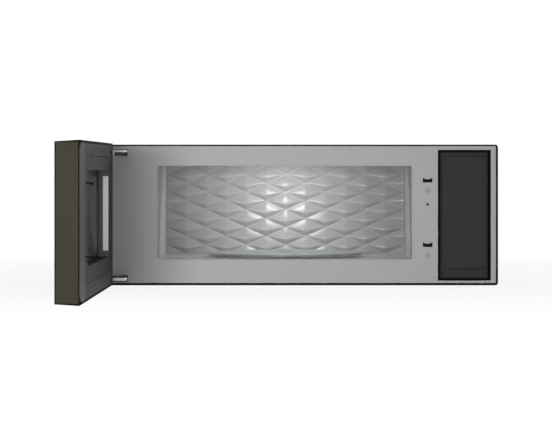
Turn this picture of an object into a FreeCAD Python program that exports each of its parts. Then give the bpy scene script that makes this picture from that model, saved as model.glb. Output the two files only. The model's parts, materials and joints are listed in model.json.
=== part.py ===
import FreeCAD, Part
import math
import os
import Sketcher

# Over-the-range microwave hood with a full-width, left-hinged door, shown open.
# Frame: +X right, +Y to the wall, +Z up. The origin is the bottom centre of the wall face.

# Driving sizes in millimetres, door angle in degrees.
driving = {
    # cabinet
    "body_w": 759, "body_h": 270.6, "body_d": 424, "sheet_t": 1, "bend_r": 4, "left_bay": 103.7,
    "right_bay": 165.1, "floor_h": 49.2, "roof_gap": 40.2, "back_gap": 69,
    # front bezel and plate
    "bezel_d": 16, "bezel_side": 4, "bezel_top": 2.8, "bezel_bottom": 4.4, "bezel_r": 6, "plate_t": 1.5,
    "plate_r": 3, "plate_fit": 0.2,
    # wall and cabinet fixings, exhaust
    "bolt_spread": 420, "bolt_back": 300, "bolt_r": 3.6, "exhaust_w": 254, "exhaust_d": 82.5,
    "exhaust_back": 9, "exhaust_drop": 22, "hang_spread": 560, "hang_w": 32, "hang_h": 7, "hang_up": 22,
    "collar_t": 1.5, "flap_gap": 1, "flap_pin_r": 1.5, "flap_down": 9, "flap_t": 1, "gland_in": 60,
    "gland_back": 60, "gland_r": 11, "gland_neck": 6, "gland_lip": 2.5, "cord_r": 4.5,
    # grease filters, cooktop lamps and air slots in the base
    "filter_w": 150, "filter_front": 114, "filter_in": 12, "filter_back": 90, "filter_t": 6,
    "filter_fit": 0.5, "filter_rim": 7, "lamp_wall": 3, "lens_t": 2, "lamp_w": 64, "lamp_d": 34,
    "lamp_spread": 200, "lamp_front": 72, "lamp_h": 18, "vent_count": 8, "vent_in": 40, "vent_pitch": 14,
    "vent_w": 6, "vent_len": 60,
    # oven cavity
    "cavity_t": 1, "mouth_r": 4, "facet_rise": 6, "facet_drop": 6, "facet_cols": 6, "facet_rows": 5,
    # control pocket in the front plate
    "pocket_strip": 49.4, "pocket_side": 13.9, "pocket_top": 10.2, "pocket_bottom": 9, "pocket_d": 14,
    "pocket_wall": 2, "panel_side": 9, "panel_top": 13.7, "panel_bottom": 25.2, "panel_rise": 4,
    "pocket_rim": 0.3, "panel_r": 2.5, "strip_low": 4, "strip_gap": 5, "board_gap": 8, "board_t": 1.6,
    "board_h": 180, "post_r": 4, "relay_count": 5, "relay_w": 18, "relay_h": 28, "relay_d": 17,
    "relay_gap": 7,
    # latches
    "latch_in": 29.6, "latch_up": 29.3, "latch_down": 27.9, "slot_w": 18.3, "slot_h": 9.6,
    "slot_dip": 3.2, "dimple_r": 6.5, "dimple_d": 0.4, "dimple_drop": 20.7, "hook_w": 8, "hook_reach": 12,
    "hook_h": 4.4, "hook_nose": 1.4, "hook_t": 4, "latch_travel": 1.2, "plunger_drop": 46.9,
    "plunger_r": 2.4, "plunger_fit": 0.08, "plunger_len": 24, "plunger_travel": 3, "housing_d": 34,
    "housing_w": 26, "housing_over": 20, "hook_room": 20, "switch_w": 10, "switch_d": 16, "switch_h": 28,
    "tab_len": 8, "tab_t": 0.8, "tab_w": 6.3,
    # hinges
    "pivot_in": 6, "pivot_out": 14.5, "arm_low": 8, "arm_down": 10.6, "arm_h": 11, "arm_t": 10,
    "arm_reach": 40.5, "stem_w": 9, "arm_gap": 0.6, "flange_t": 3, "flange_side": 5, "flange_over": 2,
    "pin_r": 2.5, "pin_fit": 0.05, "pin_gap": 0.5, "bush_t": 0.9, "lug_h": 7,
    # cooling fan and vent blower
    "fan_up": 66, "fan_back": 96, "fan_d": 18, "fan_w": 122, "strut_d": 3, "strut_h": 8,
    "fan_motor_w": 52, "fan_motor_d": 20, "spin_r": 3, "spin_fit": 0.05, "fan_hub_r": 18, "blade_r": 52,
    "blade_gap": 2.5, "blade_w": 18, "blade_t": 1.6, "blade_root": 6, "blade_count": 7, "scroll_side": 7,
    "scroll_r": 88, "scroll_foot": 24, "inlet_r": 52, "blower_back": 236, "blower_up": 104,
    "cross_bar_t": 2, "blower_motor_r": 30, "web_t": 2, "hub_len": 34, "wheel_w": 66, "wheel_r": 70,
    "wheel_hub_r": 10, "vane_w": 12, "vane_t": 1.2, "vane_lean": 3, "vane_count": 22,
    # turntable
    "turntable_gap": 21.5, "glass_t": 4, "rim_h": 8, "tray_lift": 1, "track_in": 47, "roller_r": 4.25,
    "roller_w": 7, "ring_w": 9, "ring_t": 3.5, "axle_r": 1.5, "well_gap": 7, "hub_r": 11, "shaft_r": 3.5,
    "rim_w": 16, "rim_lip": 3, "roll_fit": 0.15, "axle_fit": 0.08, "ring_gap": 0.4, "hub_gap": 0.3,
    "lobe_r": 5, "shaft_gap": 1.5, "motor_gap": 8, "motor_r": 25, "motor_h": 17, "motor_ear": 8,
    # microwave feed
    "guide_shift": 40, "guide_w": 80, "guide_h": 64, "guide_d": 34, "mica_t": 0.6, "mica_over": 9,
    "bulb_back": 70, "bulb_down": 30, "bulb_hole_r": 12, "bulb_r": 9, "bulb_set": 3, "cup_w": 32,
    "cup_len": 34, "antenna_r": 8, "antenna_gap": 1.5, "antenna_len": 26, "yoke_t": 2, "yoke_l": 70,
    "yoke_w": 92, "yoke_h": 70, "anode_r": 19, "filter_box": 26, "fin_count": 4, "fin_gap": 9,
    "fin_pitch": 14, "fin_t": 1.2,
    # high-voltage supply
    "core_in": 16, "core_w": 98, "core_d": 70, "core_h": 80, "core_back": 74, "yoke_iron": 16,
    "leg_w": 34, "coil_w": 15, "coil_gap": 0.6, "coil_out": 13, "can_in": 112, "can_w": 54, "can_d": 34,
    "can_h": 74, "can_gap": 18, "can_r": 15, "diode_r": 4, "diode_len": 24, "diode_gap": 14,
    "cutout_r": 8, "cutout_h": 7, "cutout_shift": 60,
    # door
    "door_gap": 2, "door_t": 41, "door_low": 1.2, "door_over": 2, "door_draft": 2.5, "skin_t": 1.5,
    "door_open": 90, "back_t": 3, "back_fit": 0.4, "groove": 1.2, "liner_top": 24.6, "liner_bottom": 31,
    "liner_hinge": 27, "liner_latch": 12, "recess_d": 20, "recess_wall": 2, "recess_side": 3,
    "recess_low": 9.6, "recess_high": 8.2, "window_t": 2, "mesh_t": 0.8, "ledge": 8, "frame_rim": 12,
    "frame_t": 1, "strip_d": 10, "strip_end": 11.7, "strip_t": 1, "cover_gap": 4.5, "cover_cut_x": 42,
    "cover_cut_z": 14, "cover_t": 6, "notch_over": 4, "notch_gap": 1.2, "stile_in": 21, "stile_w": 26,
    "lug_side": 7.5, "pane_t": 4, "pane_fit": 0.4, "pane_side": 28, "pane_end": 24, "pane_grip": 7,
    "grip_shift": 2, "grip_w": 22, "grip_end": 34, "grip_wall": 1.5, "grip_floor": 12, "card_in": 6,
    "display_t": 7, "display_h": 70, "bar_w": 12, "bar_t": 4, "bar_gap": 0.3, "hook_gap": 0.4,
    "rail_t": 1.6, "rail_in": 16,
}

doc = FreeCAD.newDocument("MicrowaveHood")
sheet = doc.addObject("Spreadsheet::Sheet", "Sizes")


# A size is a number together with the sheet expression that gives it.
class Size:
    def __init__(self, value, text):
        self.value = float(value)
        self.text = text

    def __add__(self, other):
        other = as_size(other)
        return Size(self.value + other.value, f"({self.text} + {other.text})")

    def __sub__(self, other):
        other = as_size(other)
        return Size(self.value - other.value, f"({self.text} - {other.text})")

    def __mul__(self, other):
        other = as_size(other)
        return Size(self.value * other.value, f"({self.text} * {other.text})")

    def __truediv__(self, other):
        other = as_size(other)
        return Size(self.value / other.value, f"({self.text} / {other.text})")

    def __radd__(self, other):
        return as_size(other) + self

    def __rsub__(self, other):
        return as_size(other) - self

    def __rmul__(self, other):
        return as_size(other) * self

    def __neg__(self):
        return Size(-self.value, f"(0 - {self.text})")


def as_size(number):
    if isinstance(number, Size):
        return number
    return Size(number, f"({number:.6g})")


class Sizes:
    pass


d = Sizes()
for row, (alias, number) in enumerate(driving.items(), start=1):
    sheet.set(f"A{row}", alias)
    sheet.set(f"B{row}", str(number))
    sheet.setAlias(f"B{row}", alias)
    setattr(d, alias, Size(number, f"Sizes.{alias}"))
doc.recompute()

pieces = {}


# Ties one property of an object to a size.
def bind(item, prop, size):
    item.setExpression(prop, as_size(size).text)


def place(item, x, y, z):
    bind(item, "Placement.Base.x", x)
    bind(item, "Placement.Base.y", y)
    bind(item, "Placement.Base.z", z)


# Solid primitives: spans are (low, high) along each axis.
def box(x, y, z):
    item = doc.addObject("Part::Box", "Block")
    bind(item, "Length", x[1] - x[0])
    bind(item, "Width", y[1] - y[0])
    bind(item, "Height", z[1] - z[0])
    place(item, x[0], y[0], z[0])
    return item


turns = {
    "x": FreeCAD.Rotation(FreeCAD.Vector(0, 1, 0), 90),
    "y": FreeCAD.Rotation(FreeCAD.Vector(1, 0, 0), -90),
    "z": FreeCAD.Rotation(),
}


def rod(axis, x, y, z, radius, length):
    item = doc.addObject("Part::Cylinder", "Rod")
    item.Placement.Rotation = turns[axis]
    bind(item, "Radius", radius)
    bind(item, "Height", length)
    place(item, x, y, z)
    return item


def joined(items):
    if len(items) == 1:
        return items[0]
    item = doc.addObject("Part::MultiFuse", "Joined")
    item.Shapes = items
    item.Refine = True
    return item


def without(base, tools):
    item = doc.addObject("Part::Cut", "Trimmed")
    item.Base = base
    item.Tool = joined(tools)
    item.Refine = True
    return item


def group(items):
    item = doc.addObject("Part::Compound", "Group")
    item.Links = items
    return item


# Closed loops of a sketch. Each one adds its lines and lists its rules, some tied to the sheet.
def hold(rules, kind, point, size):
    rules.append((Sketcher.Constraint(kind, -1, 1, point[0], point[1], size.value), size.text))


def rule(rules, *words):
    rules.append((Sketcher.Constraint(*words), None))


def poly(points):
    points = [(as_size(u), as_size(v)) for u, v in points]

    def draw(sketch, rules):
        start = sketch.GeometryCount
        count = len(points)
        corners = [FreeCAD.Vector(u.value, v.value, 0) for u, v in points]
        for i in range(count):
            sketch.addGeometry(Part.LineSegment(corners[i], corners[(i + 1) % count]), False)
        for i, (u, v) in enumerate(points):
            rule(rules, "Coincident", start + i, 2, start + (i + 1) % count, 1)
            hold(rules, "DistanceX", (start + i, 1), u)
            hold(rules, "DistanceY", (start + i, 1), v)

    return draw


def rect(u, v, radius=None):
    if radius is None:
        return poly([(u[0], v[0]), (u[1], v[0]), (u[1], v[1]), (u[0], v[1])])
    u = [as_size(item) for item in u]
    v = [as_size(item) for item in v]

    def draw(sketch, rules):
        start = sketch.GeometryCount
        r = radius.value
        low = FreeCAD.Vector(u[0].value, v[0].value, 0)
        high = FreeCAD.Vector(u[1].value, v[1].value, 0)
        near = low + FreeCAD.Vector(r, r, 0)
        far = high - FreeCAD.Vector(r, r, 0)
        sides = [
            ((near.x, low.y), (far.x, low.y)), ((high.x, near.y), (high.x, far.y)),
            ((far.x, high.y), (near.x, high.y)), ((low.x, far.y), (low.x, near.y)),
        ]
        centres = [(far.x, near.y), (far.x, far.y), (near.x, far.y), (near.x, near.y)]
        for a, b in sides:
            sketch.addGeometry(Part.LineSegment(FreeCAD.Vector(*a, 0), FreeCAD.Vector(*b, 0)), False)
        for i, centre in enumerate(centres):
            whole = Part.Circle(FreeCAD.Vector(*centre, 0), FreeCAD.Vector(0, 0, 1), r)
            sketch.addGeometry(Part.ArcOfCircle(whole, (i - 1) * math.pi / 2, i * math.pi / 2), False)
        for i in range(4):
            rule(rules, "Tangent", start + i, 2, start + 4 + i, 1)
            rule(rules, "Tangent", start + 4 + i, 2, start + (i + 1) % 4, 1)
            rule(rules, "Vertical" if i % 2 else "Horizontal", start + i)
        for i in range(3):
            rule(rules, "Equal", start + 4, start + 5 + i)
        rules.append((Sketcher.Constraint("Radius", start + 4, r), radius.text))
        hold(rules, "DistanceX", (start + 3, 1), u[0])
        hold(rules, "DistanceX", (start + 1, 1), u[1])
        hold(rules, "DistanceY", (start, 1), v[0])
        hold(rules, "DistanceY", (start + 2, 1), v[1])

    return draw


def circle(u, v, radius):
    u, v, radius = as_size(u), as_size(v), as_size(radius)

    def draw(sketch, rules):
        index = sketch.GeometryCount
        centre = FreeCAD.Vector(u.value, v.value, 0)
        sketch.addGeometry(Part.Circle(centre, FreeCAD.Vector(0, 0, 1), radius.value), False)
        hold(rules, "DistanceX", (index, 3), u)
        hold(rules, "DistanceY", (index, 3), v)
        rules.append((Sketcher.Constraint("Radius", index, radius.value), radius.text))

    return draw


roles = {"xy": "XY_Plane", "xz": "XZ_Plane", "yz": "YZ_Plane"}


def new_body():
    return doc.addObject("PartDesign::Body", "Body")


def draw_sketch(body, plane, offset, loops):
    sketch = body.newObject("Sketcher::SketchObject", "Sketch")
    support = [item for item in body.Origin.OriginFeatures if item.Role == roles[plane]][0]
    sketch.AttachmentSupport = [(support, "")]
    sketch.MapMode = "FlatFace"
    bind(sketch, "AttachmentOffset.Base.z", offset)
    rules = []
    for loop in loops:
        loop(sketch, rules)
    sketch.addConstraint([item for item, text in rules])
    for i, (item, text) in enumerate(rules):
        if text:
            sketch.setExpression(f"Constraints[{i}]", text)
    return sketch


# Adds a pad, or cuts a pocket, over a span along the axis that the plane faces.
def pad(body, plane, span, loops):
    offset = -span[1] if plane == "xz" else span[0]
    item = body.newObject("PartDesign::Pad", "Pad")
    item.Profile = draw_sketch(body, plane, offset, loops)
    bind(item, "Length", span[1] - span[0])
    return body


def pocket(body, plane, span, loops):
    offset = -span[0] if plane == "xz" else span[1]
    item = body.newObject("PartDesign::Pocket", "Pocket")
    item.Profile = draw_sketch(body, plane, offset, loops)
    bind(item, "Length", span[1] - span[0])
    return body


def plate(plane, span, loops):
    return pad(new_body(), plane, span, loops)


def slab(x, y, z):
    return plate("xz", y, [rect(x, z)])


# A turned piece about a vertical axis, from corner points given as (radius, height).
def turned(x, y, points):
    body = new_body()
    sketch = draw_sketch(body, "xz", -y, [poly(points)])
    bind(sketch, "AttachmentOffset.Base.x", x)
    item = body.newObject("PartDesign::Revolution", "Turn")
    item.Profile = sketch
    item.ReferenceAxis = (sketch, ["V_Axis"])
    item.Angle = 360
    return body


# Rounds the edges of a body's last feature that a test picks out.
def rounded(body, radius, wanted):
    doc.recompute()
    base = body.Tip
    names = [f"Edge{i}" for i, edge in enumerate(base.Shape.Edges, start=1) if wanted(edge)]
    item = body.newObject("PartDesign::Fillet", "Round")
    item.Base = (base, names)
    bind(item, "Radius", radius)
    return body


def keep(label, item):
    item.Label = label
    pieces[label] = item
    return item


# Places worked out from the driving sizes.
left = -d.body_w / 2
right = d.body_w / 2
front = -d.body_d
inside_l = left + d.sheet_t
inside_r = right - d.sheet_t
roof = d.body_h - d.sheet_t
plate_back = front + d.plate_t
case_front = front + d.bezel_d
cavity_l = left + d.left_bay
cavity_r = right - d.right_bay
cavity_lo = d.floor_h
cavity_hi = d.body_h - d.roof_gap
cavity_back = -d.back_gap
cavity_x = (cavity_l + cavity_r) / 2
cavity_y = (front + cavity_back) / 2
pivot_x = left + d.pivot_in
pivot_y = front - d.pivot_out
latch_x = cavity_r + d.latch_in
latch_levels = [cavity_lo + d.latch_up, cavity_hi - d.latch_down]
plunger_z = latch_levels[1] - d.plunger_drop
pocket_x = (cavity_r + d.pocket_strip, right - d.pocket_side)
pocket_z = (d.pocket_bottom, d.body_h - d.pocket_top)
arm_levels = {"lower": d.arm_low, "upper": d.body_h - d.arm_down - d.arm_h}
stem_x = (pivot_x + d.arm_reach - d.stem_w, pivot_x + d.arm_reach)


def about(centre, width):
    return (centre - width / 2, centre + width / 2)


def grown(span, by):
    return (span[0] - by, span[1] + by)


# Cabinet: wrap, base, rear panel, bezel and the grey front plate.
def along_y(edge, corners):
    box_of = edge.BoundBox
    if box_of.YLength < 1 or box_of.XLength > 0.01 or box_of.ZLength > 0.01:
        return False
    return any(abs(box_of.XMin - x) < 0.01 and abs(box_of.ZMin - z) < 0.01 for x, z in corners)


def make_outer_case():
    body = plate("xz", (case_front, as_size(0)), [rect((left, right), (as_size(0), d.body_h))])
    pocket(body, "xz", (case_front, as_size(0)), [rect((inside_l, inside_r), (-d.sheet_t, roof))])
    outside = [(left.value, d.body_h.value), (right.value, d.body_h.value)]
    inside = [(inside_l.value, roof.value), (inside_r.value, roof.value)]
    rounded(body, d.bend_r, lambda edge: along_y(edge, outside))
    rounded(body, d.bend_r - d.sheet_t, lambda edge: along_y(edge, inside))
    holes = [rect(about(as_size(0), d.exhaust_w), (-d.exhaust_back - d.exhaust_d, -d.exhaust_back))]
    for x in about(as_size(0), d.bolt_spread):
        holes.append(circle(x, -d.bolt_back, d.bolt_r))
    holes.append(circle(right - d.gland_in, -d.gland_back, d.gland_r))
    pocket(body, "xy", (roof, d.body_h), holes)
    return body


keep("outer_case", make_outer_case())

filter_spans = [
    (cavity_l + d.filter_in, cavity_l + d.filter_in + d.filter_w),
    (cavity_r - d.filter_in - d.filter_w, cavity_r - d.filter_in),
]
filter_y = (front + d.filter_front, -d.filter_back)
lamp_spans = [about(x, d.lamp_w) for x in about(as_size(0), d.lamp_spread)]
lamp_mid = front + d.lamp_front
lamp_y = about(lamp_mid, d.lamp_d)


def make_base_panel():
    holes = [rect(grown(x, d.filter_fit), grown(filter_y, d.filter_fit)) for x in filter_spans]
    holes += [rect(grown(x, d.filter_fit), grown(lamp_y, d.filter_fit)) for x in lamp_spans]
    for i in range(int(d.vent_count.value)):
        x = about(right - d.vent_in - i * d.vent_pitch, d.vent_w)
        holes.append(rect(x, about(lamp_mid, d.vent_len)))
    outline = rect((inside_l, inside_r), (case_front, -d.sheet_t))
    return plate("xy", (as_size(0), d.sheet_t), [outline] + holes)


keep("base_panel", make_base_panel())


def make_rear_panel():
    slots = [rect(about(x, d.hang_w), about(d.hang_up, d.hang_h)) for x in about(as_size(0), d.hang_spread)]
    outline = rect((inside_l, inside_r), (as_size(0), roof), d.bend_r)
    return plate("xz", (-d.sheet_t, as_size(0)), [outline] + slots)


keep("rear_panel", make_rear_panel())

plate_x = (left + d.bezel_side, right - d.bezel_side)
plate_z = (d.bezel_bottom, d.body_h - d.bezel_top)


def make_front_bezel():
    outer = rect((left, right), (as_size(0), d.body_h), d.bezel_r)
    return plate("xz", (front, case_front), [outer, rect(plate_x, plate_z, d.plate_r)])


keep("front_bezel", make_front_bezel())


def latch_slot(z):
    x = about(latch_x, d.slot_w)
    low, high = about(z, d.slot_h)
    dip = high - d.slot_dip
    return poly([
        (x[0], low), (x[1], low), (x[1], high),
        (latch_x + d.hook_w / 2, dip), (latch_x - d.hook_w / 2, dip), (x[0], high),
    ])


def make_front_plate():
    loops = [rect(grown(plate_x, -d.plate_fit), grown(plate_z, -d.plate_fit), d.plate_r)]
    loops.append(rect((cavity_l, cavity_r), (cavity_lo, cavity_hi), d.mouth_r))
    loops.append(rect(pocket_x, pocket_z))
    loops += [latch_slot(z) for z in latch_levels]
    loops.append(circle(latch_x, plunger_z, d.plunger_r + d.plunger_fit))
    for z in arm_levels.values():
        loops.append(rect(grown(stem_x, d.arm_gap), grown((z, z + d.arm_h), d.arm_gap)))
    body = plate("xz", (front, plate_back), loops)
    dimples = [circle(latch_x, z - d.dimple_drop, d.dimple_r) for z in latch_levels]
    return pocket(body, "xz", (front, front + d.dimple_d), dimples)


keep("front_plate", make_front_plate())


# Hinge arms pass through the front plate and carry upright pins.
def make_hinge_arm(z):
    span = (z, z + d.arm_h)
    bar = box((pivot_x, stem_x[1]), about(pivot_y, d.arm_t), span)
    nose = rod("z", pivot_x, pivot_y, z, d.arm_t / 2, d.arm_h)
    stem = box(stem_x, (pivot_y - d.arm_t / 2, plate_back + d.flange_t), span)
    flange_y = (plate_back, plate_back + d.flange_t)
    flange = box(grown(stem_x, d.flange_side), flange_y, grown(span, d.flange_over))
    hole = rod("z", pivot_x, pivot_y, z, d.pin_r + d.pin_fit, d.arm_h)
    return without(joined([bar, nose, stem, flange]), [hole])


pin_len = d.arm_h + d.pin_gap + d.lug_h
for side, z in arm_levels.items():
    keep(f"hinge_arm_{side}", make_hinge_arm(z))
pins = [rod("z", pivot_x, pivot_y, z, d.pin_r, pin_len) for z in arm_levels.values()]
keep("hinge_pins", group(pins))


# Oven cavity: a three-sided wrap, a floor with a round well, and the faceted back wall.
tray_z = cavity_lo + d.tray_lift
tray_r = (cavity_back - front) / 2 - d.turntable_gap
track_r = tray_r - d.track_in
well_r = track_r + d.roller_w / 2 + d.well_gap
axle_z = tray_z - d.roll_fit - d.roller_r
well_z = axle_z - d.roller_r - d.roll_fit
cavity_end = cavity_back + d.cavity_t
wall_x = cavity_r + d.cavity_t
guide_y = about(cavity_y + d.guide_shift, d.guide_w)
guide_z = about((cavity_lo + cavity_hi) / 2, d.guide_h)
guide_end = wall_x + d.guide_d
guide_mid = (cavity_y + d.guide_shift, (cavity_lo + cavity_hi) / 2)


def make_cavity_wrap():
    low = cavity_lo - d.cavity_t
    outer = (cavity_l - d.cavity_t, wall_x, cavity_hi + d.cavity_t)
    body = plate("xz", (plate_back, cavity_end), [poly([
        (outer[0], low), (cavity_l, low), (cavity_l, cavity_hi), (cavity_r, cavity_hi),
        (cavity_r, low), (outer[1], low), (outer[1], outer[2]), (outer[0], outer[2]),
    ])])
    lamp_hole = circle(cavity_back - d.bulb_back, cavity_hi - d.bulb_down, d.bulb_hole_r)
    return pocket(body, "yz", (cavity_r, wall_x), [rect(guide_y, guide_z), lamp_hole])


keep("cavity_wrap", make_cavity_wrap())


def make_cavity_floor():
    low = cavity_lo - d.cavity_t
    pan = box((cavity_l, cavity_r), (plate_back, cavity_end), (low, cavity_lo))
    mouth = rod("z", cavity_x, cavity_y, low, well_r, d.cavity_t)
    deep_end = well_z - d.cavity_t
    shell = rod("z", cavity_x, cavity_y, deep_end, well_r + d.cavity_t, cavity_lo - deep_end)
    hollow = rod("z", cavity_x, cavity_y, well_z, well_r, cavity_lo - well_z)
    shaft_hole = rod("z", cavity_x, cavity_y, deep_end, d.shaft_r + d.shaft_gap, d.cavity_t)
    return without(joined([without(pan, [mouth]), shell]), [hollow, shaft_hole])


keep("cavity_floor", make_cavity_floor())


# Stamped sheet of four-sided pyramids: lattice points alternate between valley and peak.
# Each peak inside the border hangs below the middle of its diamond, so the lower facets are the steep ones.
def make_cavity_back():
    cols = 2 * int(sheet.facet_cols)
    rows = 2 * int(sheet.facet_rows)
    step_x = (cavity_r.value - cavity_l.value) / cols
    step_z = (cavity_hi.value - cavity_lo.value) / rows

    def lattice(offset):
        grid = {}
        for i in range(cols + 1):
            for j in range(rows + 1):
                peak = (i + j) % 2 == 0
                inside = 0 < i < cols and 0 < j < rows
                y = cavity_back.value + offset - (sheet.facet_rise if peak else 0)
                z = cavity_lo.value + j * step_z - (sheet.facet_drop if peak and inside else 0)
                grid[i, j] = FreeCAD.Vector(cavity_l.value + i * step_x, y, z)
        return grid

    near = lattice(0)
    far = lattice(sheet.cavity_t)

    def face(*corners):
        return Part.Face(Part.makePolygon(list(corners) + [corners[0]]))

    faces = []
    for grid in (near, far):
        for i in range(cols):
            for j in range(rows):
                a, b, c, e = grid[i, j], grid[i + 1, j], grid[i + 1, j + 1], grid[i, j + 1]
                if (i + j) % 2 == 0:
                    faces += [face(a, b, e), face(b, c, e)]
                else:
                    faces += [face(a, b, c), face(a, c, e)]
    rim = [((i, j), (i + 1, j)) for i in range(cols) for j in (0, rows)]
    rim += [((i, j), (i, j + 1)) for j in range(rows) for i in (0, cols)]
    for a, b in rim:
        faces.append(face(near[a], near[b], far[b], far[a]))
    skin = Part.makeCompound(faces)
    skin.sewShape()
    solid = Part.Solid(skin.Shells[0])
    if solid.Volume < 0:
        solid.reverse()
    item = doc.addObject("Part::Feature", "FacetWall")
    item.Shape = solid
    item.Placement = FreeCAD.Placement()
    return item


keep("cavity_back", make_cavity_back())
mica_x = (cavity_r - d.mica_t, cavity_r)
keep("waveguide_cover", box(mica_x, grown(guide_y, d.mica_over), grown(guide_z, d.mica_over)))


# Turntable: glass tray on a roller ring, turned by a three-lobed coupler.
def make_turntable():
    flare = tray_r - d.rim_w
    rim_top = tray_z + d.rim_h
    points = [
        (0, tray_z), (flare, tray_z), (tray_r, rim_top - d.rim_lip), (tray_r, rim_top),
        (tray_r - d.rim_lip, rim_top), (flare - d.rim_lip, tray_z + d.glass_t), (0, tray_z + d.glass_t),
    ]
    return turned(cavity_x, cavity_y, points)


keep("turntable_glass", make_turntable())


# Corners round the turntable axis, at a radius and a turn in thirds of a circle.
def around(radius, third):
    angle = math.radians(120 * third)
    return cavity_x + radius * math.cos(angle), cavity_y + radius * math.sin(angle)


def make_coupler():
    top = tray_z - d.hub_gap
    low = well_z + d.hub_gap
    stem_low = well_z - d.cavity_t - d.motor_gap
    stem = rod("z", cavity_x, cavity_y, stem_low, d.shaft_r, top - stem_low)
    lobes = [rod("z", cavity_x, cavity_y, low, d.hub_r, top - low)]
    for third in range(3):
        x, y = around(d.hub_r, third)
        lobes.append(rod("z", x, y, low, d.lobe_r, top - low))
    return joined([stem] + lobes)


keep("drive_coupler", make_coupler())


def make_roller_ring():
    inner = track_r - d.roller_w / 2 - d.ring_gap - d.ring_w
    low = axle_z - d.ring_t / 2
    band = rod("z", cavity_x, cavity_y, low, inner + d.ring_w, d.ring_t)
    axles = []
    for third in range(3):
        item = rod("z", cavity_x, cavity_y, axle_z, d.axle_r, track_r + d.roller_w / 2 + d.ring_gap)
        item.Placement.Rotation = FreeCAD.Rotation(FreeCAD.Vector(0, 0, 1), 120 * third) * turns["x"]
        axles.append(item)
    hub = rod("z", cavity_x, cavity_y, low, inner, d.ring_t)
    return without(joined([band] + axles), [hub])


keep("roller_ring", make_roller_ring())


def make_roller(third):
    x, y = around(track_r - d.roller_w / 2, third)
    wheel = rod("z", x, y, axle_z, d.roller_r, d.roller_w)
    hole = rod("z", x, y, axle_z, d.axle_r + d.axle_fit, d.roller_w)
    for item in (wheel, hole):
        item.Placement.Rotation = FreeCAD.Rotation(FreeCAD.Vector(0, 0, 1), 120 * third) * turns["x"]
    return without(wheel, [hole])


for third in range(3):
    keep(f"roller_{third + 1}", make_roller(third))


def make_turntable_motor():
    top = well_z - d.cavity_t
    can = rod("z", cavity_x, cavity_y, top - d.motor_h, d.motor_r, d.motor_h)
    ear_x = about(cavity_x, 2 * d.motor_r + 2 * d.motor_ear)
    ears = box(ear_x, about(cavity_y, 2 * d.motor_ear), (top - d.cavity_t, top))
    terminal_y = (cavity_y, cavity_y + d.motor_r + d.motor_ear)
    terminals = box(about(cavity_x, d.motor_r), terminal_y, (top - d.motor_h, top - d.motor_h / 2))
    bore_len = d.motor_gap + d.shaft_gap
    bore = rod("z", cavity_x, cavity_y, top - bore_len, d.shaft_r + d.shaft_gap, bore_len)
    return without(joined([can, ears, terminals]), [bore])


keep("turntable_motor", make_turntable_motor())


# Control pocket: a dark moulded tray with a raised panel and a strip below it.
pocket_back = front + d.pocket_d
pocket_floor = pocket_back - d.pocket_wall
panel_x = grown(pocket_x, -d.panel_side)
board_y = pocket_back + d.board_gap
board_z = about((pocket_z[0] + pocket_z[1]) / 2, d.board_h)
post_points = [(x, z) for x in grown(panel_x, -d.post_r) for z in grown(board_z, -d.post_r)]


def make_control_pocket():
    body = plate("xz", (front + d.pocket_rim, pocket_back), [rect(pocket_x, pocket_z)])
    inside = [rect(grown(pocket_x, -d.pocket_wall), grown(pocket_z, -d.pocket_wall))]
    pocket(body, "xz", (front + d.pocket_rim, pocket_floor), inside)
    panel_low = pocket_z[0] + d.panel_bottom
    raised = [rect(panel_x, (panel_low, pocket_z[1] - d.panel_top), d.panel_r)]
    raised.append(rect(panel_x, (pocket_z[0] + d.strip_low, panel_low - d.strip_gap), d.panel_r))
    pad(body, "xz", (pocket_floor - d.panel_rise, pocket_floor), raised)
    posts = [rect(about(x, 2 * d.post_r), about(z, 2 * d.post_r)) for x, z in post_points]
    return pad(body, "xz", (pocket_back, board_y), posts)


keep("control_pocket", make_control_pocket())


def make_relay_board():
    relay_x = (panel_x[0] + d.relay_gap, panel_x[0] + d.relay_gap + d.relay_w)
    parts = [box(panel_x, (board_y, board_y + d.board_t), board_z)]
    for i in range(int(d.relay_count.value)):
        low = board_z[0] + d.relay_gap + i * (d.relay_h + d.relay_gap)
        parts.append(box(relay_x, (board_y, board_y + d.relay_d), (low, low + d.relay_h)))
    return joined(parts)


keep("relay_board", make_relay_board())

# Latch housing behind the slots, its switches and the door-sense plunger.
housing_back = plate_back + d.housing_d
housing_z = (latch_levels[0] - d.housing_over, latch_levels[1] + d.housing_over)


def make_latch_housing():
    block = box(about(latch_x, d.housing_w), (plate_back, housing_back), housing_z)
    room = (plate_back, plate_back + d.hook_room)
    tools = [box(about(latch_x, d.slot_w), room, about(z, d.slot_h)) for z in latch_levels]
    bore_len = d.plunger_len + d.plunger_travel
    tools.append(rod("y", latch_x, plate_back, plunger_z, d.plunger_r + d.plunger_fit, bore_len))
    return without(block, tools)


keep("latch_housing", make_latch_housing())
keep("door_plunger", rod("y", latch_x, front, plunger_z, d.plunger_r, d.plunger_len))


def make_switch(z):
    switch_end = housing_back + d.switch_d
    parts = [box(about(latch_x, d.switch_w), (housing_back, switch_end), about(z, d.switch_h))]
    for at in about(z, d.switch_h / 2):
        blade_y = (switch_end, switch_end + d.tab_len)
        parts.append(box(about(latch_x, d.switch_w / 2), blade_y, about(at, d.tab_t)))
    return joined(parts)


keep("interlock_switches", group([make_switch(z) for z in latch_levels + [plunger_z]]))


# Microwave feed: waveguide on the cavity wall, magnetron with its yoke and fins.
def make_waveguide():
    outer = box((wall_x, guide_end), grown(guide_y, d.sheet_t), grown(guide_z, d.sheet_t))
    hollow = box((wall_x, guide_end - d.sheet_t), guide_y, guide_z)
    y, z = guide_mid
    hole = rod("x", guide_end - d.sheet_t, y, z, d.antenna_r + d.antenna_gap, d.sheet_t)
    return without(outer, [hollow, hole])


keep("waveguide", make_waveguide())


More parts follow.
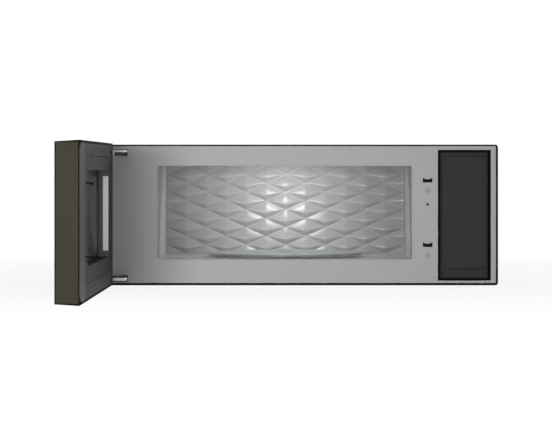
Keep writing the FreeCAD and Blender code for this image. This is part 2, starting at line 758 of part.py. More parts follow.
def make_magnetron():
    y, z = guide_mid
    start = guide_end + d.yoke_t
    end = start + d.yoke_l
    flange = box((guide_end, start), about(y, d.yoke_w), about(z, d.yoke_h + 2 * d.yoke_t))
    yoke = box((start, end), about(y, d.yoke_w - 2 * d.yoke_t), about(z, d.yoke_h + 2 * d.yoke_t))
    air_way = box((start, end - d.yoke_t), about(y, d.yoke_w), about(z, d.yoke_h))
    core = rod("x", start, y, z, d.anode_r, d.yoke_l)
    antenna = rod("x", guide_end - d.antenna_len, y, z, d.antenna_r, d.antenna_len)
    choke_box = box((end, end + d.filter_box), about(y, d.yoke_w / 2), about(z, d.yoke_h / 2))
    fins = []
    for i in range(int(d.fin_count.value)):
        x = start + d.fin_gap + i * d.fin_pitch
        fins.append(box((x, x + d.fin_t), about(y, d.yoke_w - 4 * d.yoke_t), about(z, d.yoke_h)))
    return joined([flange, without(yoke, [air_way]), core, antenna, choke_box] + fins)


keep("magnetron", make_magnetron())

# High-voltage supply on the base of the right bay.
core_x = (wall_x + d.core_in, wall_x + d.core_in + d.core_w)
core_y = (front + d.core_back, front + d.core_back + d.core_d)
core_z = (d.sheet_t, d.sheet_t + d.core_h)
leg_x = about((core_x[0] + core_x[1]) / 2, d.leg_w)
window_z = grown(core_z, -d.yoke_iron)


def make_transformer_core():
    stack = box(core_x, core_y, core_z)
    near = box((leg_x[0] - d.coil_w - d.coil_gap, leg_x[0]), core_y, window_z)
    far = box((leg_x[1], leg_x[1] + d.coil_w + d.coil_gap), core_y, window_z)
    return without(stack, [near, far])


def make_coil(z):
    ring = box(grown(leg_x, d.coil_w), grown(core_y, d.coil_out), z)
    return without(ring, [box(leg_x, core_y, z)])


keep("transformer_core", make_transformer_core())
coil_mid = (window_z[0] + window_z[1]) / 2
coil_spans = [(window_z[0], coil_mid - d.coil_gap), (coil_mid + d.coil_gap, window_z[1])]
keep("transformer_coils", group([make_coil(span) for span in coil_spans]))

can_x = about(wall_x + d.can_in, d.can_w)
can_front = core_y[1] + d.coil_out + d.can_gap
can_y = (can_front, can_front + d.can_d)
can_top = d.sheet_t + d.can_h


def make_capacitor():
    body = plate("xy", (d.sheet_t, can_top), [rect(can_x, can_y, d.can_r)])
    tab_y = about(can_front + d.can_d / 2, d.tab_t)
    tabs = [rect(about(x, d.tab_w), tab_y) for x in about(wall_x + d.can_in, d.can_w / 2)]
    return pad(body, "xy", (can_top, can_top + d.tab_len), tabs)


keep("capacitor", make_capacitor())
diode_y = can_y[1] + d.diode_gap
diode_end = can_x[0] + d.diode_len
diode_tab = (d.sheet_t, d.sheet_t + d.tab_t)
keep("hv_diode", joined([
    rod("x", can_x[0], diode_y, d.sheet_t + d.diode_r, d.diode_r, d.diode_len),
    box((diode_end, diode_end + d.tab_len), about(diode_y, d.tab_w), diode_tab),
]))
keep("thermal_cutouts", group([
    rod("z", cavity_x, cavity_y, cavity_hi + d.cavity_t, d.cutout_r, d.cutout_h),
    rod("x", wall_x, cavity_y - d.cutout_shift, cavity_hi - d.bulb_down, d.cutout_r, d.cutout_h),
]))


def make_cavity_lamp():
    y = cavity_back - d.bulb_back
    z = cavity_hi - d.bulb_down
    inner_w = d.cup_w - 2 * d.pocket_wall
    cup = box((wall_x, wall_x + d.cup_len), about(y, d.cup_w), about(z, d.cup_w))
    hollow = box((wall_x, wall_x + d.cup_len - d.pocket_wall), about(y, inner_w), about(z, inner_w))
    bulb = rod("x", wall_x + d.bulb_set, y, z, d.bulb_r, d.cup_len - d.bulb_set)
    return joined([without(cup, [hollow]), bulb])


keep("cavity_lamp", make_cavity_lamp())


# Repeats a body's last feature round one of the body's own axes.
def patterned(body, axis, count):
    feature = body.Tip
    item = body.newObject("PartDesign::PolarPattern", "Pattern")
    item.Originals = [feature]
    item.Axis = ([part for part in body.Origin.OriginFeatures if part.Role == axis][0], [""])
    item.Angle = 360
    bind(item, "Occurrences", count)
    body.Tip = item
    return body


# Cooling fan: shroud with two struts, shaded-pole motor and bladed rotor, blowing forwards.
fan_x = (wall_x + inside_r) / 2
fan_z = d.sheet_t + d.fan_up
fan_y = (-d.fan_back - d.fan_d, -d.fan_back)
strut_end = fan_y[1] + d.strut_d
motor_end = strut_end + d.fan_motor_d


def make_fan_shroud():
    body = plate("xz", fan_y, [
        rect(about(fan_x, d.fan_w), (d.sheet_t, fan_z + d.fan_w / 2), d.panel_r),
        circle(fan_x, fan_z, d.blade_r + d.blade_gap),
    ])
    bars = [rect(about(fan_x, d.fan_w - d.fan_d), about(z, d.strut_h)) for z in about(fan_z, d.fan_motor_w)]
    pad(body, "xz", (fan_y[1], strut_end), bars)
    return body


keep("fan_shroud", make_fan_shroud())


def make_fan_motor():
    iron_z = grown(about(fan_z, d.fan_motor_w), d.strut_h / 2)
    iron = box(about(fan_x, d.fan_motor_w), (strut_end, motor_end), iron_z)
    coil_y = grown((strut_end, motor_end), d.strut_d / 2)
    coil = box(about(fan_x, d.fan_motor_w / 2), coil_y, about(fan_z - d.fan_motor_w / 3, d.strut_h))
    shaft = rod("y", fan_x, fan_y[0], fan_z, d.spin_r, strut_end - fan_y[0])
    return joined([iron, coil, shaft])


keep("fan_motor", make_fan_motor())


def make_cooling_fan():
    half = d.fan_d / 2 - d.blade_gap
    body = plate("xz", (-half, half), [circle(0, 0, d.fan_hub_r), circle(0, 0, d.spin_r + d.spin_fit)])
    lean = d.blade_w / 2
    blade = poly([(-half, -lean - d.blade_t), (-half, -lean), (half, lean + d.blade_t), (half, lean)])
    pad(body, "yz", (d.fan_hub_r - d.blade_root, d.blade_r), [blade])
    patterned(body, "Y_Axis", d.blade_count)
    place(body, fan_x, (fan_y[0] + fan_y[1]) / 2, fan_z)
    return body


keep("cooling_fan", make_cooling_fan())

# Vent blower in the left bay: scroll housing, motor on a cross bar, bladed wheel.
scroll_x = (inside_l + d.scroll_side, cavity_l - d.cavity_t - d.scroll_side)
blower = ((scroll_x[0] + scroll_x[1]) / 2, -d.blower_back, d.blower_up)
chute_y = (blower[1], blower[1] + d.scroll_r)


def make_blower_housing():
    x, y, z = blower
    chute_top = cavity_hi + d.cavity_t
    drum = rod("x", scroll_x[0], y, z, d.scroll_r, scroll_x[1] - scroll_x[0])
    chute = box(scroll_x, chute_y, (z, chute_top))
    inner_x = grown(scroll_x, -d.pocket_wall)
    hollow = rod("x", inner_x[0], y, z, d.scroll_r - d.pocket_wall, inner_x[1] - inner_x[0])
    throat = box(inner_x, grown(chute_y, -d.pocket_wall), (z, chute_top))
    inlet = rod("x", scroll_x[0], y, z, d.inlet_r, scroll_x[1] - scroll_x[0])
    feet = box(scroll_x, about(y, d.scroll_foot), (d.sheet_t, z - d.scroll_r + d.scroll_foot / 2))
    return without(joined([drum, chute, feet]), [hollow, throat, inlet])


keep("blower_housing", make_blower_housing())


def make_blower_motor():
    x, y, z = blower
    bar_z = about(z, 2 * d.inlet_r + d.scroll_foot)
    bar = box((scroll_x[1], scroll_x[1] + d.cross_bar_t), about(y, d.scroll_foot), bar_z)
    can = rod("x", x + d.web_t, y, z, d.blower_motor_r, scroll_x[1] - x - d.web_t)
    shaft = rod("x", x - d.hub_len / 2, y, z, d.spin_r, d.hub_len)
    return joined([bar, can, shaft])


keep("blower_motor", make_blower_motor())


def make_blower_wheel():
    half = d.wheel_w / 2
    bore = circle(0, 0, d.spin_r + d.spin_fit)
    body = plate("yz", (-d.hub_len / 2, d.web_t / 2), [circle(0, 0, d.wheel_hub_r), bore])
    web = [circle(0, 0, d.wheel_r - d.vane_w / 2), circle(0, 0, d.wheel_hub_r - d.web_t)]
    pad(body, "yz", (-d.web_t / 2, d.web_t / 2), web)
    for span in ((-half, d.web_t - half), (half - d.web_t, half)):
        pad(body, "yz", span, [circle(0, 0, d.wheel_r), circle(0, 0, d.wheel_r - d.vane_w)])
    vane = poly([
        (-d.vane_lean, d.wheel_r - d.vane_w), (d.vane_t - d.vane_lean, d.wheel_r - d.vane_w),
        (d.vane_t + d.vane_lean, d.wheel_r - d.web_t), (d.vane_lean, d.wheel_r - d.web_t),
    ])
    pad(body, "yz", (-half, half), [vane])
    patterned(body, "X_Axis", d.vane_count)
    place(body, blower[0], blower[1], blower[2])
    return body


keep("blower_wheel", make_blower_wheel())

# Exhaust collar flush with the roof, and the flap that gravity closes.
collar_x = about(as_size(0), d.exhaust_w)
collar_y = (-d.exhaust_back - d.exhaust_d, -d.exhaust_back)
collar_in_x = grown(collar_x, -d.collar_t)
collar_in_y = grown(collar_y, -d.collar_t)
flap_y = collar_in_y[1] - d.flap_gap - d.flap_pin_r
flap_z = d.body_h - d.flap_down


def make_exhaust_collar():
    walls = [rect(collar_x, collar_y), rect(collar_in_x, collar_in_y)]
    body = plate("xy", (d.body_h - d.exhaust_drop, d.body_h), walls)
    holes = [circle(flap_y, flap_z, d.flap_pin_r + d.pin_fit)]
    pocket(body, "yz", (collar_x[0], collar_x[1]), holes)
    return body


keep("exhaust_collar", make_exhaust_collar())


def make_damper_flap():
    leaf_y = (collar_in_y[0] + d.flap_gap, flap_y)
    leaf = box(grown(collar_in_x, -d.flap_gap), leaf_y, about(flap_z, d.flap_t))
    pin = rod("x", collar_x[0], flap_y, flap_z, d.flap_pin_r, d.exhaust_w)
    return joined([leaf, pin])


keep("damper_flap", make_damper_flap())


# Grease filters drop out of the base; lamp lenses sit in their windows under lamp boxes.
def make_filter(x):
    span_z = (as_size(0), d.filter_t)
    inner = (grown(x, -d.filter_rim), grown(filter_y, -d.filter_rim))
    frame = without(box(x, filter_y, span_z), [box(*inner, span_z)])
    return joined([frame, box(*inner, about(d.filter_t / 2, d.filter_t / 3))])


for side, x in zip(("left", "right"), filter_spans):
    keep(f"grease_filter_{side}", make_filter(x))


def make_lamp_box(x):
    shell = box(grown(x, d.lamp_wall), grown(lamp_y, d.lamp_wall), (d.sheet_t, d.lamp_h))
    room_z = (d.sheet_t, d.lamp_h - d.lamp_wall)
    return without(shell, [box(grown(x, d.filter_fit), grown(lamp_y, d.filter_fit), room_z)])


keep("cooktop_lamps", group([make_lamp_box(x) for x in lamp_spans]))
keep("lamp_lenses", group([box(x, lamp_y, (as_size(0), d.lens_t)) for x in lamp_spans]))


def make_cord_gland():
    x, y = right - d.gland_in, -d.gland_back
    neck = rod("z", x, y, roof - d.gland_neck, d.gland_r - d.plate_fit, d.sheet_t + d.gland_neck)
    collar = rod("z", x, y, d.body_h, d.gland_r + d.gland_lip, d.gland_lip)
    bore = rod("z", x, y, roof - d.gland_neck, d.cord_r, d.sheet_t + d.gland_neck + d.gland_lip)
    return without(joined([neck, collar]), [bore])


keep("cord_gland", make_cord_gland())


# Door, drawn closed and then swung open about the hinge pins.
door_in = front - d.door_gap
door_out = door_in - d.door_t
door_z = (d.door_low, d.body_h + d.door_over)
face_z = grown(door_z, -d.door_draft)
inside_x = grown((left, right), -d.skin_t - d.back_fit)
inside_z = grown(door_z, -d.skin_t - d.back_fit)
pane_back = d.door_t - d.pane_t
recess_x = (cavity_l - d.recess_side, cavity_r + d.recess_side)
recess_z = (cavity_lo + d.recess_low, cavity_hi - d.recess_high)
liner_x = (left + d.liner_hinge, latch_x + d.liner_latch)
liner_z = (d.liner_bottom, d.body_h - d.liner_top)
cover_l = liner_x[1] + d.cover_gap
grip_x = about(latch_x + d.grip_shift, d.grip_w)
grip_z = grown(face_z, -d.grip_end)
pane_x = (left + d.pane_side, grip_x[0] - d.pane_grip)
pane_z = grown(face_z, -d.pane_end)
touch_x = (grip_x[1] + d.pane_grip, right - d.pane_side)
pivot_in_door = d.pivot_out - d.door_gap
notch_x = (left - d.skin_t, stem_x[1] + d.notch_over)
notch_deep = pivot_in_door + d.arm_t / 2 + d.arm_gap
hook_z = [z - d.slot_h / 2 + d.hook_gap for z in latch_levels]
bar_in = d.back_t + d.bar_gap
bar_x = about(latch_x, d.bar_w)


# Span along Y between two depths measured from the door's inner face.
def deep(near, far):
    return (door_in - far, door_in - near)


def swing(item):
    turn = f"{d.door_open.text}"
    opened = FreeCAD.Rotation(FreeCAD.Vector(0, 0, -1), d.door_open.value)
    item.Placement = FreeCAD.Placement(FreeCAD.Vector(), opened)
    x, y = pivot_x.text, pivot_y.text
    item.setExpression("Placement.Rotation.Angle", turn)
    item.setExpression("Placement.Base.x", f"{x} - {x} * cos({turn}) - {y} * sin({turn})")
    item.setExpression("Placement.Base.y", f"{y} + {x} * sin({turn}) - {y} * cos({turn})")
    return item


def keep_on_door(label, item):
    return keep(label, swing(item))


def notches():
    tools = []
    for z in arm_levels.values():
        tools.append(box(notch_x, deep(-d.door_gap, notch_deep), grown((z, z + d.arm_h), d.notch_gap)))
    return tools


# A block whose height grows from the outer face to the inner face.
def drafted(x, y, z_out, z_in):
    item = doc.addObject("Part::Wedge", "Drafted")
    for name, size in (
        ("Xmin", x[0]), ("Xmax", x[1]), ("X2min", x[0]), ("X2max", x[1]), ("Ymin", y[0]), ("Ymax", y[1]),
        ("Zmin", z_out[0]), ("Zmax", z_out[1]), ("Z2min", z_in[0]), ("Z2max", z_in[1]),
    ):
        setattr(item, name, size.value)
        bind(item, name, size)
    return item


def make_door_skin():
    outer = drafted((left, right), (door_out, door_in), face_z, door_z)
    hollow = drafted(
        grown((left, right), -d.skin_t), (door_out + d.skin_t, door_in),
        grown(face_z, -d.skin_t), grown(door_z, -d.skin_t),
    )
    front_wall = deep(d.door_t - d.skin_t, d.door_t)
    windows = [box(grown(x, d.pane_fit), front_wall, grown(pane_z, d.pane_fit)) for x in (pane_x, touch_x)]
    windows.append(box(grown(grip_x, d.grip_wall), front_wall, grown(grip_z, d.grip_wall)))
    return without(outer, [hollow] + windows + notches())


keep_on_door("door_skin", make_door_skin())
keep_on_door("door_glass", slab(pane_x, deep(pane_back, d.door_t), pane_z))
keep_on_door("touch_glass", slab(touch_x, deep(pane_back, d.door_t), pane_z))


def make_grip_channel():
    shell = box(grown(grip_x, d.grip_wall), deep(d.grip_floor, d.door_t), grown(grip_z, d.grip_wall))
    return without(shell, [box(grip_x, deep(d.grip_floor + d.grip_wall, d.door_t), grip_z)])


keep_on_door("grip_channel", make_grip_channel())


def make_hinge_stile():
    post_z = grown(face_z, -d.skin_t - d.back_fit)
    lug_x = (inside_x[0], pivot_x + d.lug_side)
    lug_y = deep(pivot_in_door - d.lug_side, d.stile_in)
    parts = [box((inside_x[0], left + d.stile_w), deep(d.stile_in, pane_back), post_z)]
    holes = []
    for z in arm_levels.values():
        low = z + d.arm_h + d.pin_gap
        parts.append(box(lug_x, lug_y, (low, low + d.lug_h)))
        holes.append(rod("z", pivot_x, pivot_y, low, d.pin_r + d.bush_t + d.pin_fit, d.lug_h))
    return without(joined(parts), holes)


def make_bush(z):
    low = z + d.arm_h + d.pin_gap
    ring = rod("z", pivot_x, pivot_y, low, d.pin_r + d.bush_t, d.lug_h)
    return without(ring, [rod("z", pivot_x, pivot_y, low, d.pin_r + d.pin_fit, d.lug_h)])


keep_on_door("hinge_stile", make_hinge_stile())
keep_on_door("hinge_bushes", group([make_bush(z) for z in arm_levels.values()]))


def ring_of(span, by):
    return rect(grown(span[0], by), grown(span[1], by))


recess = (recess_x, recess_z)


# Choke frame: a steel channel round the window with a ledge for the screen.
def make_choke_frame():
    rim = d.recess_wall + d.frame_rim
    shelf = d.recess_d + d.window_t + d.mesh_t
    body = plate("xz", deep(d.back_t, pane_back), [ring_of(recess, rim), ring_of(recess, -d.ledge)])
    pocket(body, "xz", deep(d.back_t, shelf), [ring_of(recess, d.recess_wall)])
    channel = [ring_of(recess, rim - d.frame_t), ring_of(recess, d.recess_wall + d.frame_t)]
    return pocket(body, "xz", deep(d.back_t, pane_back - d.frame_t), channel)


keep_on_door("choke_frame", make_choke_frame())


# Door liner: the dark inner face round the recessed window, slotted for the hooks.
def make_door_liner():
    slot_x = grown(about(latch_x, d.hook_w), d.hook_gap)
    slots = [rect(slot_x, grown((z, z + d.hook_h + d.latch_travel), d.hook_gap)) for z in hook_z]
    body = plate("xz", deep(0, d.back_t), [rect(liner_x, liner_z), rect(*recess)] + slots)
    pad(body, "xz", deep(d.back_t, d.recess_d), [ring_of(recess, d.recess_wall), rect(*recess)])
    rail_z = (hook_z[0] + d.rail_in, hook_z[1] - d.rail_in)
    rail_starts = (bar_x[0] - d.bar_gap - d.rail_t, bar_x[1] + d.bar_gap)
    rails = [rect((x, x + d.rail_t), rail_z) for x in rail_starts]
    return pad(body, "xz", deep(d.back_t, bar_in + d.bar_t), rails)


keep_on_door("door_liner", make_door_liner())


def make_door_back():
    opening = rect(grown(liner_x, d.groove), grown(liner_z, d.groove))
    panel = plate("xz", deep(0, d.back_t), [rect((inside_x[0], cover_l - d.groove), inside_z), opening])
    return without(panel, notches())


keep_on_door("door_back", make_door_back())
window_y = deep(d.recess_d, d.recess_d + d.window_t)
screen_y = (window_y[0] - d.mesh_t, window_y[0])
keep_on_door("inner_window", slab(grown(recess_x, d.recess_wall), window_y, grown(recess_z, d.recess_wall)))
keep_on_door("mesh_screen", slab(grown(recess_x, d.recess_wall), screen_y, grown(recess_z, d.recess_wall)))
strip_z = grown(recess_z, -d.strip_end)
strip_y = deep(d.strip_t, d.strip_t + d.strip_d)
keep_on_door("window_strip", slab((recess_x[0], recess_x[0] + d.strip_t), strip_y, strip_z))


# Control cover with bevelled corners at the free end, and the touch board behind the glass.
def make_control_cover():
    x = (cover_l, inside_x[1])
    body = plate("xz", deep(d.back_t, d.cover_t), [rect(x, inside_z)])
    bevel = x[1] - d.cover_cut_x
    return pad(body, "xz", deep(0, d.back_t), [poly([
        (x[0], inside_z[0]), (bevel, inside_z[0]), (x[1], inside_z[0] + d.cover_cut_z),
        (x[1], inside_z[1] - d.cover_cut_z), (bevel, inside_z[1]), (x[0], inside_z[1]),
    ])])


keep_on_door("control_cover", make_control_cover())


def make_touch_board():
    card_face = pane_back - d.display_t
    card_y = deep(card_face - d.board_t, card_face)
    card = box(grown(touch_x, -d.card_in), card_y, grown(pane_z, -d.card_in))
    display_z = (pane_z[1] - d.display_h - d.card_in, pane_z[1] - 2 * d.card_in)
    display = box(grown(touch_x, -2 * d.card_in), deep(card_face, pane_back), display_z)
    return joined([card, display])


keep_on_door("touch_board", make_touch_board())


# Latch bar: slides up inside the door and carries the two hooks.
def make_latch_bar():
    parts = [box(bar_x, deep(bar_in, bar_in + d.bar_t), (hook_z[0] - d.rail_in, hook_z[1] + d.rail_in))]
    hook_x = about(latch_x, d.hook_w)
    for z in hook_z:
        parts.append(box(hook_x, deep(-d.hook_reach, bar_in), (z + d.hook_nose, z + d.hook_h)))
        parts.append(box(hook_x, deep(-d.hook_reach, d.hook_t - d.hook_reach), (z, z + d.hook_h)))
    return joined(parts)


keep_on_door("latch_bar", make_latch_bar())


# Every object must be sound before anything is written.
doc.recompute()
for item in doc.Objects:
    if "Invalid" in item.State or "Error" in item.State:
        raise RuntimeError(f"{item.Label} failed to recompute: {item.State}")
for label, item in pieces.items():
    if item.Shape.isNull() or not item.Shape.isValid() or not item.Shape.Solids:
        raise RuntimeError(f"{label} has no valid solid")
os.makedirs("parts", exist_ok=True)
for label, item in pieces.items():
    item.Shape.exportStep(f"parts/{label}.step")
    print(f"{label}: {len(item.Shape.Solids)} solids, {item.Shape.Volume / 1000:.1f} cm3")
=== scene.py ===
import json
import math

import bmesh
import bpy
from mathutils import Matrix, Vector


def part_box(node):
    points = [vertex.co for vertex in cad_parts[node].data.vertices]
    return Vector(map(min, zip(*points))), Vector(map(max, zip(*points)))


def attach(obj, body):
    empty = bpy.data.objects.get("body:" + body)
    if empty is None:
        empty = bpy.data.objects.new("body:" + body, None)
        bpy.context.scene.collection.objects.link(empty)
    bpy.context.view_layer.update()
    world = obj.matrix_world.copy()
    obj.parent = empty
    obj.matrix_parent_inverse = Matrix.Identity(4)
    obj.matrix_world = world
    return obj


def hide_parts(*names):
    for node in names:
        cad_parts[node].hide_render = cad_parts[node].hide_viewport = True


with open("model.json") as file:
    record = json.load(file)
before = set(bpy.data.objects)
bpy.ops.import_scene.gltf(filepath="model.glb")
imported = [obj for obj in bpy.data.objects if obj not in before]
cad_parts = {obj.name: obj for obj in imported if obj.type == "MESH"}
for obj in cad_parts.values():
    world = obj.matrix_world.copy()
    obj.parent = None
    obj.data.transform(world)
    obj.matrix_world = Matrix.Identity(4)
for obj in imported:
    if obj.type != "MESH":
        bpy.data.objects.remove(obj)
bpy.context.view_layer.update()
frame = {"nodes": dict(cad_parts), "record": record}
cadNodes = frame["nodes"]
mm = 0.001


# small helpers for node trees: a value is either a socket to link or a constant

def feed(tree, value, node, socket):
    if hasattr(value, "is_output"):
        tree.links.new(value, node.inputs[socket])
    else:
        node.inputs[socket].default_value = value


def addNode(tree, kind, **settings):
    node = tree.nodes.new(kind)
    for name, value in settings.items():
        if name in node.inputs:
            feed(tree, value, node, name)
        else:
            setattr(node, name, value)
    return node


def operate(tree, kind, operation, values):
    node = addNode(tree, kind, operation=operation)
    for slot, value in enumerate(values):
        feed(tree, value, node, slot)
    return node.outputs


def mathNode(tree, operation, *values):
    return operate(tree, "ShaderNodeMath", operation, values)[0]


def vectorNode(tree, operation, *values):
    found = operate(tree, "ShaderNodeVectorMath", operation, values)
    return found["Value" if operation in ("LENGTH", "DOT_PRODUCT") else "Vector"]


def mapRange(tree, value, toLow, toHigh, fromLow=0.0, fromHigh=1.0, style="SMOOTHSTEP"):
    node = addNode(tree, "ShaderNodeMapRange", interpolation_type=style, Value=value)
    for socket, limit in (("From Min", fromLow), ("From Max", fromHigh), ("To Min", toLow), ("To Max", toHigh)):
        feed(tree, limit, node, socket)
    return node.outputs["Result"]


def blendColour(tree, factor, first, second):
    node = addNode(tree, "ShaderNodeMix", data_type="RGBA")
    for slot, value in ((0, factor), (6, first), (7, second)):
        feed(tree, value, node, slot)
    return node.outputs[2]


def objectPlace(tree):
    return addNode(tree, "ShaderNodeTexCoord").outputs["Object"]


def shaderGroup(name, inputs, outputs):
    tree = bpy.data.node_groups.new(name, "ShaderNodeTree")
    for label, kind, value in inputs:
        tree.interface.new_socket(label, in_out="INPUT", socket_type=kind).default_value = value
    for label, kind in outputs:
        tree.interface.new_socket(label, in_out="OUTPUT", socket_type=kind)
    return tree, tree.nodes.new("NodeGroupInput").outputs, tree.nodes.new("NodeGroupOutput")


number, colour, vector = "NodeSocketFloat", "NodeSocketColor", "NodeSocketVector"
grey = (0.5, 0.5, 0.5, 1.0)
coatOutputs = [("Colour", colour), ("Roughness", number), ("Height", number)]


def shadeBy(tree, given, out, coarse, fine, fineShare):
    both = mathNode(tree, "ADD", mathNode(tree, "MULTIPLY", coarse, 1.0 - fineShare),
                    mathNode(tree, "MULTIPLY", fine, fineShare))
    feed(tree, blendColour(tree, both, given["Shade Colour"], given["Colour"]), out, "Colour")
    spread = mathNode(tree, "MULTIPLY", mathNode(tree, "SUBTRACT", both, 0.5), given["Roughness Spread"])
    feed(tree, mathNode(tree, "ADD", given["Roughness"], spread), out, "Roughness")
    feed(tree, fine, out, "Height")


# sprayed coats and moulded plastic: cloudy shade, fine peel

def makeSprayedCoat():
    tree, given, out = shaderGroup("sprayedCoat", [
        ("Colour", colour, grey), ("Shade Colour", colour, grey), ("Cloud Scale", number, 9.0),
        ("Peel Scale", number, 900.0), ("Roughness", number, 0.4), ("Roughness Spread", number, 0.1),
    ], coatOutputs)
    place = objectPlace(tree)
    cloud = addNode(tree, "ShaderNodeTexNoise", Vector=place, Scale=given["Cloud Scale"],
                    Detail=4.0, Roughness=0.6)
    peel = addNode(tree, "ShaderNodeTexNoise", Vector=place, Scale=given["Peel Scale"],
                   Detail=2.0, Roughness=0.5)
    shadeBy(tree, given, out, cloud.outputs["Fac"], peel.outputs["Fac"], fineShare=0.25)
    return tree


# brushed sheet: long fine streaks, stretched along one axis

def makeBrushedGrain():
    tree, given, out = shaderGroup("brushedGrain", [
        ("Colour", colour, grey), ("Shade Colour", colour, grey), ("Stretch", vector, (900.0, 900.0, 9.0)),
        ("Roughness", number, 0.3), ("Roughness Spread", number, 0.12),
    ], coatOutputs)
    pulled = vectorNode(tree, "MULTIPLY", objectPlace(tree), given["Stretch"])
    fine = addNode(tree, "ShaderNodeTexNoise", Vector=pulled, Scale=1.0, Detail=5.0, Roughness=0.65)
    broad = addNode(tree, "ShaderNodeTexNoise", Vector=pulled, Scale=0.11, Detail=2.0, Roughness=0.5)
    shadeBy(tree, given, out, broad.outputs["Fac"], fine.outputs["Fac"], fineShare=0.55)
    return tree


# edges in another shade, broken up by noise: wear on the black case, a painted highlight along the enamel and
# door-liner edges, a painted dark outline along the hinge arms' edges

def makeWearAndShadingEdge():
    tree, given, out = shaderGroup("wearAndShadingEdge", [
        ("Width", number, 0.001), ("Amount", number, 0.5),
    ], [("Mask", number)])
    gain = 6.0
    rounded = addNode(tree, "ShaderNodeBevel", samples=4, Radius=given["Width"]).outputs[0]
    flat = addNode(tree, "ShaderNodeNewGeometry").outputs["Normal"]
    bend = mathNode(tree, "SUBTRACT", 1.0, vectorNode(tree, "DOT_PRODUCT", rounded, flat))
    noise = addNode(tree, "ShaderNodeTexNoise", Vector=objectPlace(tree), Scale=140.0, Detail=3.0)
    wearAndShading = mathNode(tree, "MINIMUM", mathNode(tree, "MULTIPLY", bend, gain), 1.0)
    broken = mathNode(tree, "MULTIPLY", wearAndShading, noise.outputs["Fac"])
    feed(tree, mathNode(tree, "MULTIPLY", broken, given["Amount"]), out, "Mask")
    return tree


# painted shade: a dark line along the edges of a box, where two of the three distances to its faces are small

def makeBoxEdgeShade():
    tree, given, out = shaderGroup("boxEdgeShade", [
        ("Low", vector, (0.0, 0.0, 0.0)), ("High", vector, (1.0, 1.0, 1.0)),
        ("Widths", vector, (0.002, 0.002, 0.002)),
    ], [("Mask", number)])
    place = objectPlace(tree)
    gaps = vectorNode(tree, "MINIMUM", vectorNode(tree, "SUBTRACT", place, given["Low"]),
                      vectorNode(tree, "SUBTRACT", given["High"], place))
    share = vectorNode(tree, "DIVIDE", gaps, given["Widths"])
    x, y, z = addNode(tree, "ShaderNodeSeparateXYZ", Vector=share).outputs
    second = mathNode(tree, "MAXIMUM", mathNode(tree, "MINIMUM", x, y),
                      mathNode(tree, "MINIMUM", mathNode(tree, "MAXIMUM", x, y), z))
    feed(tree, mapRange(tree, second, 1.0, 0.0, fromLow=0.5), out, "Mask")
    return tree


# soft shade in a shallow round dimple of the front

def makeDimpleShade():
    tree, given, out = shaderGroup("dimpleShade", [
        ("Centre", vector, (0.0, 0.0, 0.0)), ("Reach", number, 0.009),
    ], [("Mask", number)])
    inFront = (1.0, 0.0, 1.0)
    away = vectorNode(tree, "SUBTRACT", objectPlace(tree), given["Centre"])
    reach = vectorNode(tree, "LENGTH", vectorNode(tree, "MULTIPLY", away, inFront))
    feed(tree, mapRange(tree, mathNode(tree, "DIVIDE", reach, given["Reach"]), 1.0, 0.0), out, "Mask")
    return tree


# finger and cloth marks on gloss, as a change of roughness

def makeWipeMarks():
    tree, given, out = shaderGroup("wipeMarks", [
        ("Scale", number, 6.0), ("Low", number, 0.05), ("High", number, 0.14),
    ], [("Roughness", number), ("Mask", number)])
    smear = addNode(tree, "ShaderNodeTexNoise", Vector=objectPlace(tree), Scale=given["Scale"],
                    Detail=5.0, Roughness=0.62, Distortion=1.4).outputs["Fac"]
    marked = mapRange(tree, smear, given["Low"], given["High"], fromLow=0.42, fromHigh=0.72)
    feed(tree, marked, out, "Roughness")
    feed(tree, smear, out, "Mask")
    return tree


sprayedCoat = makeSprayedCoat()
brushedGrain = makeBrushedGrain()
wearAndShadingEdge = makeWearAndShadingEdge()
boxEdgeShade = makeBoxEdgeShade()
dimpleShade = makeDimpleShade()
wipeMarks = makeWipeMarks()


def placeGroup(tree, group, **values):
    node = tree.nodes.new("ShaderNodeGroup")
    node.node_tree = group
    for name, value in values.items():
        node.inputs[name].default_value = value
    return node.outputs


def opaque(rgb):
    return (*rgb, 1.0)


def newFinish(name, **sockets):
    finish = finishes[name] = bpy.data.materials.new(name)
    finish.use_nodes = True
    shader = finish.node_tree.nodes["Principled BSDF"]
    for label, value in sockets.items():
        shader.inputs[label.replace("_", " ")].default_value = value
    return finish.node_tree, shader


def addBump(tree, shader, height, strength, distance):
    bump = addNode(tree, "ShaderNodeBump", Strength=strength, Distance=distance, Height=height)
    feed(tree, bump.outputs[0], shader, "Normal")


finishes = {}
print("shader groups ready")


# finishes, one dictionary each; those of the CAD nodes are named as the record's slots

def dressEdges(tree, look, tint, matt):
    # edge tint: wear on some finishes, a painted highlight on some, painted shade on others
    if "wearAndShadingColour" in look:
        edge = placeGroup(tree, wearAndShadingEdge, Width=look["wearAndShadingWidth"], Amount=look["wearAndShadingAmount"])
        tint = blendColour(tree, edge["Mask"], tint, opaque(look["wearAndShadingColour"]))
    # painted shade: dark lines along the edges of the named part
    if "edged" in look:
        low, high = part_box(look["edged"])
        line = placeGroup(tree, boxEdgeShade, Low=low, High=high, Widths=look["edgeWidths"])
        tint = blendColour(tree, line["Mask"], tint, opaque(look["edgeShadeColour"]))
        matt = mathNode(tree, "MAXIMUM", matt, line["Mask"])
    for spot in look.get("dimples", ()):
        shade = placeGroup(tree, dimpleShade, Centre=spot, Reach=look["dimpleReach"])
        tint = blendColour(tree, shade["Mask"], tint, opaque(look["dimpleColour"]))
    return tint, matt


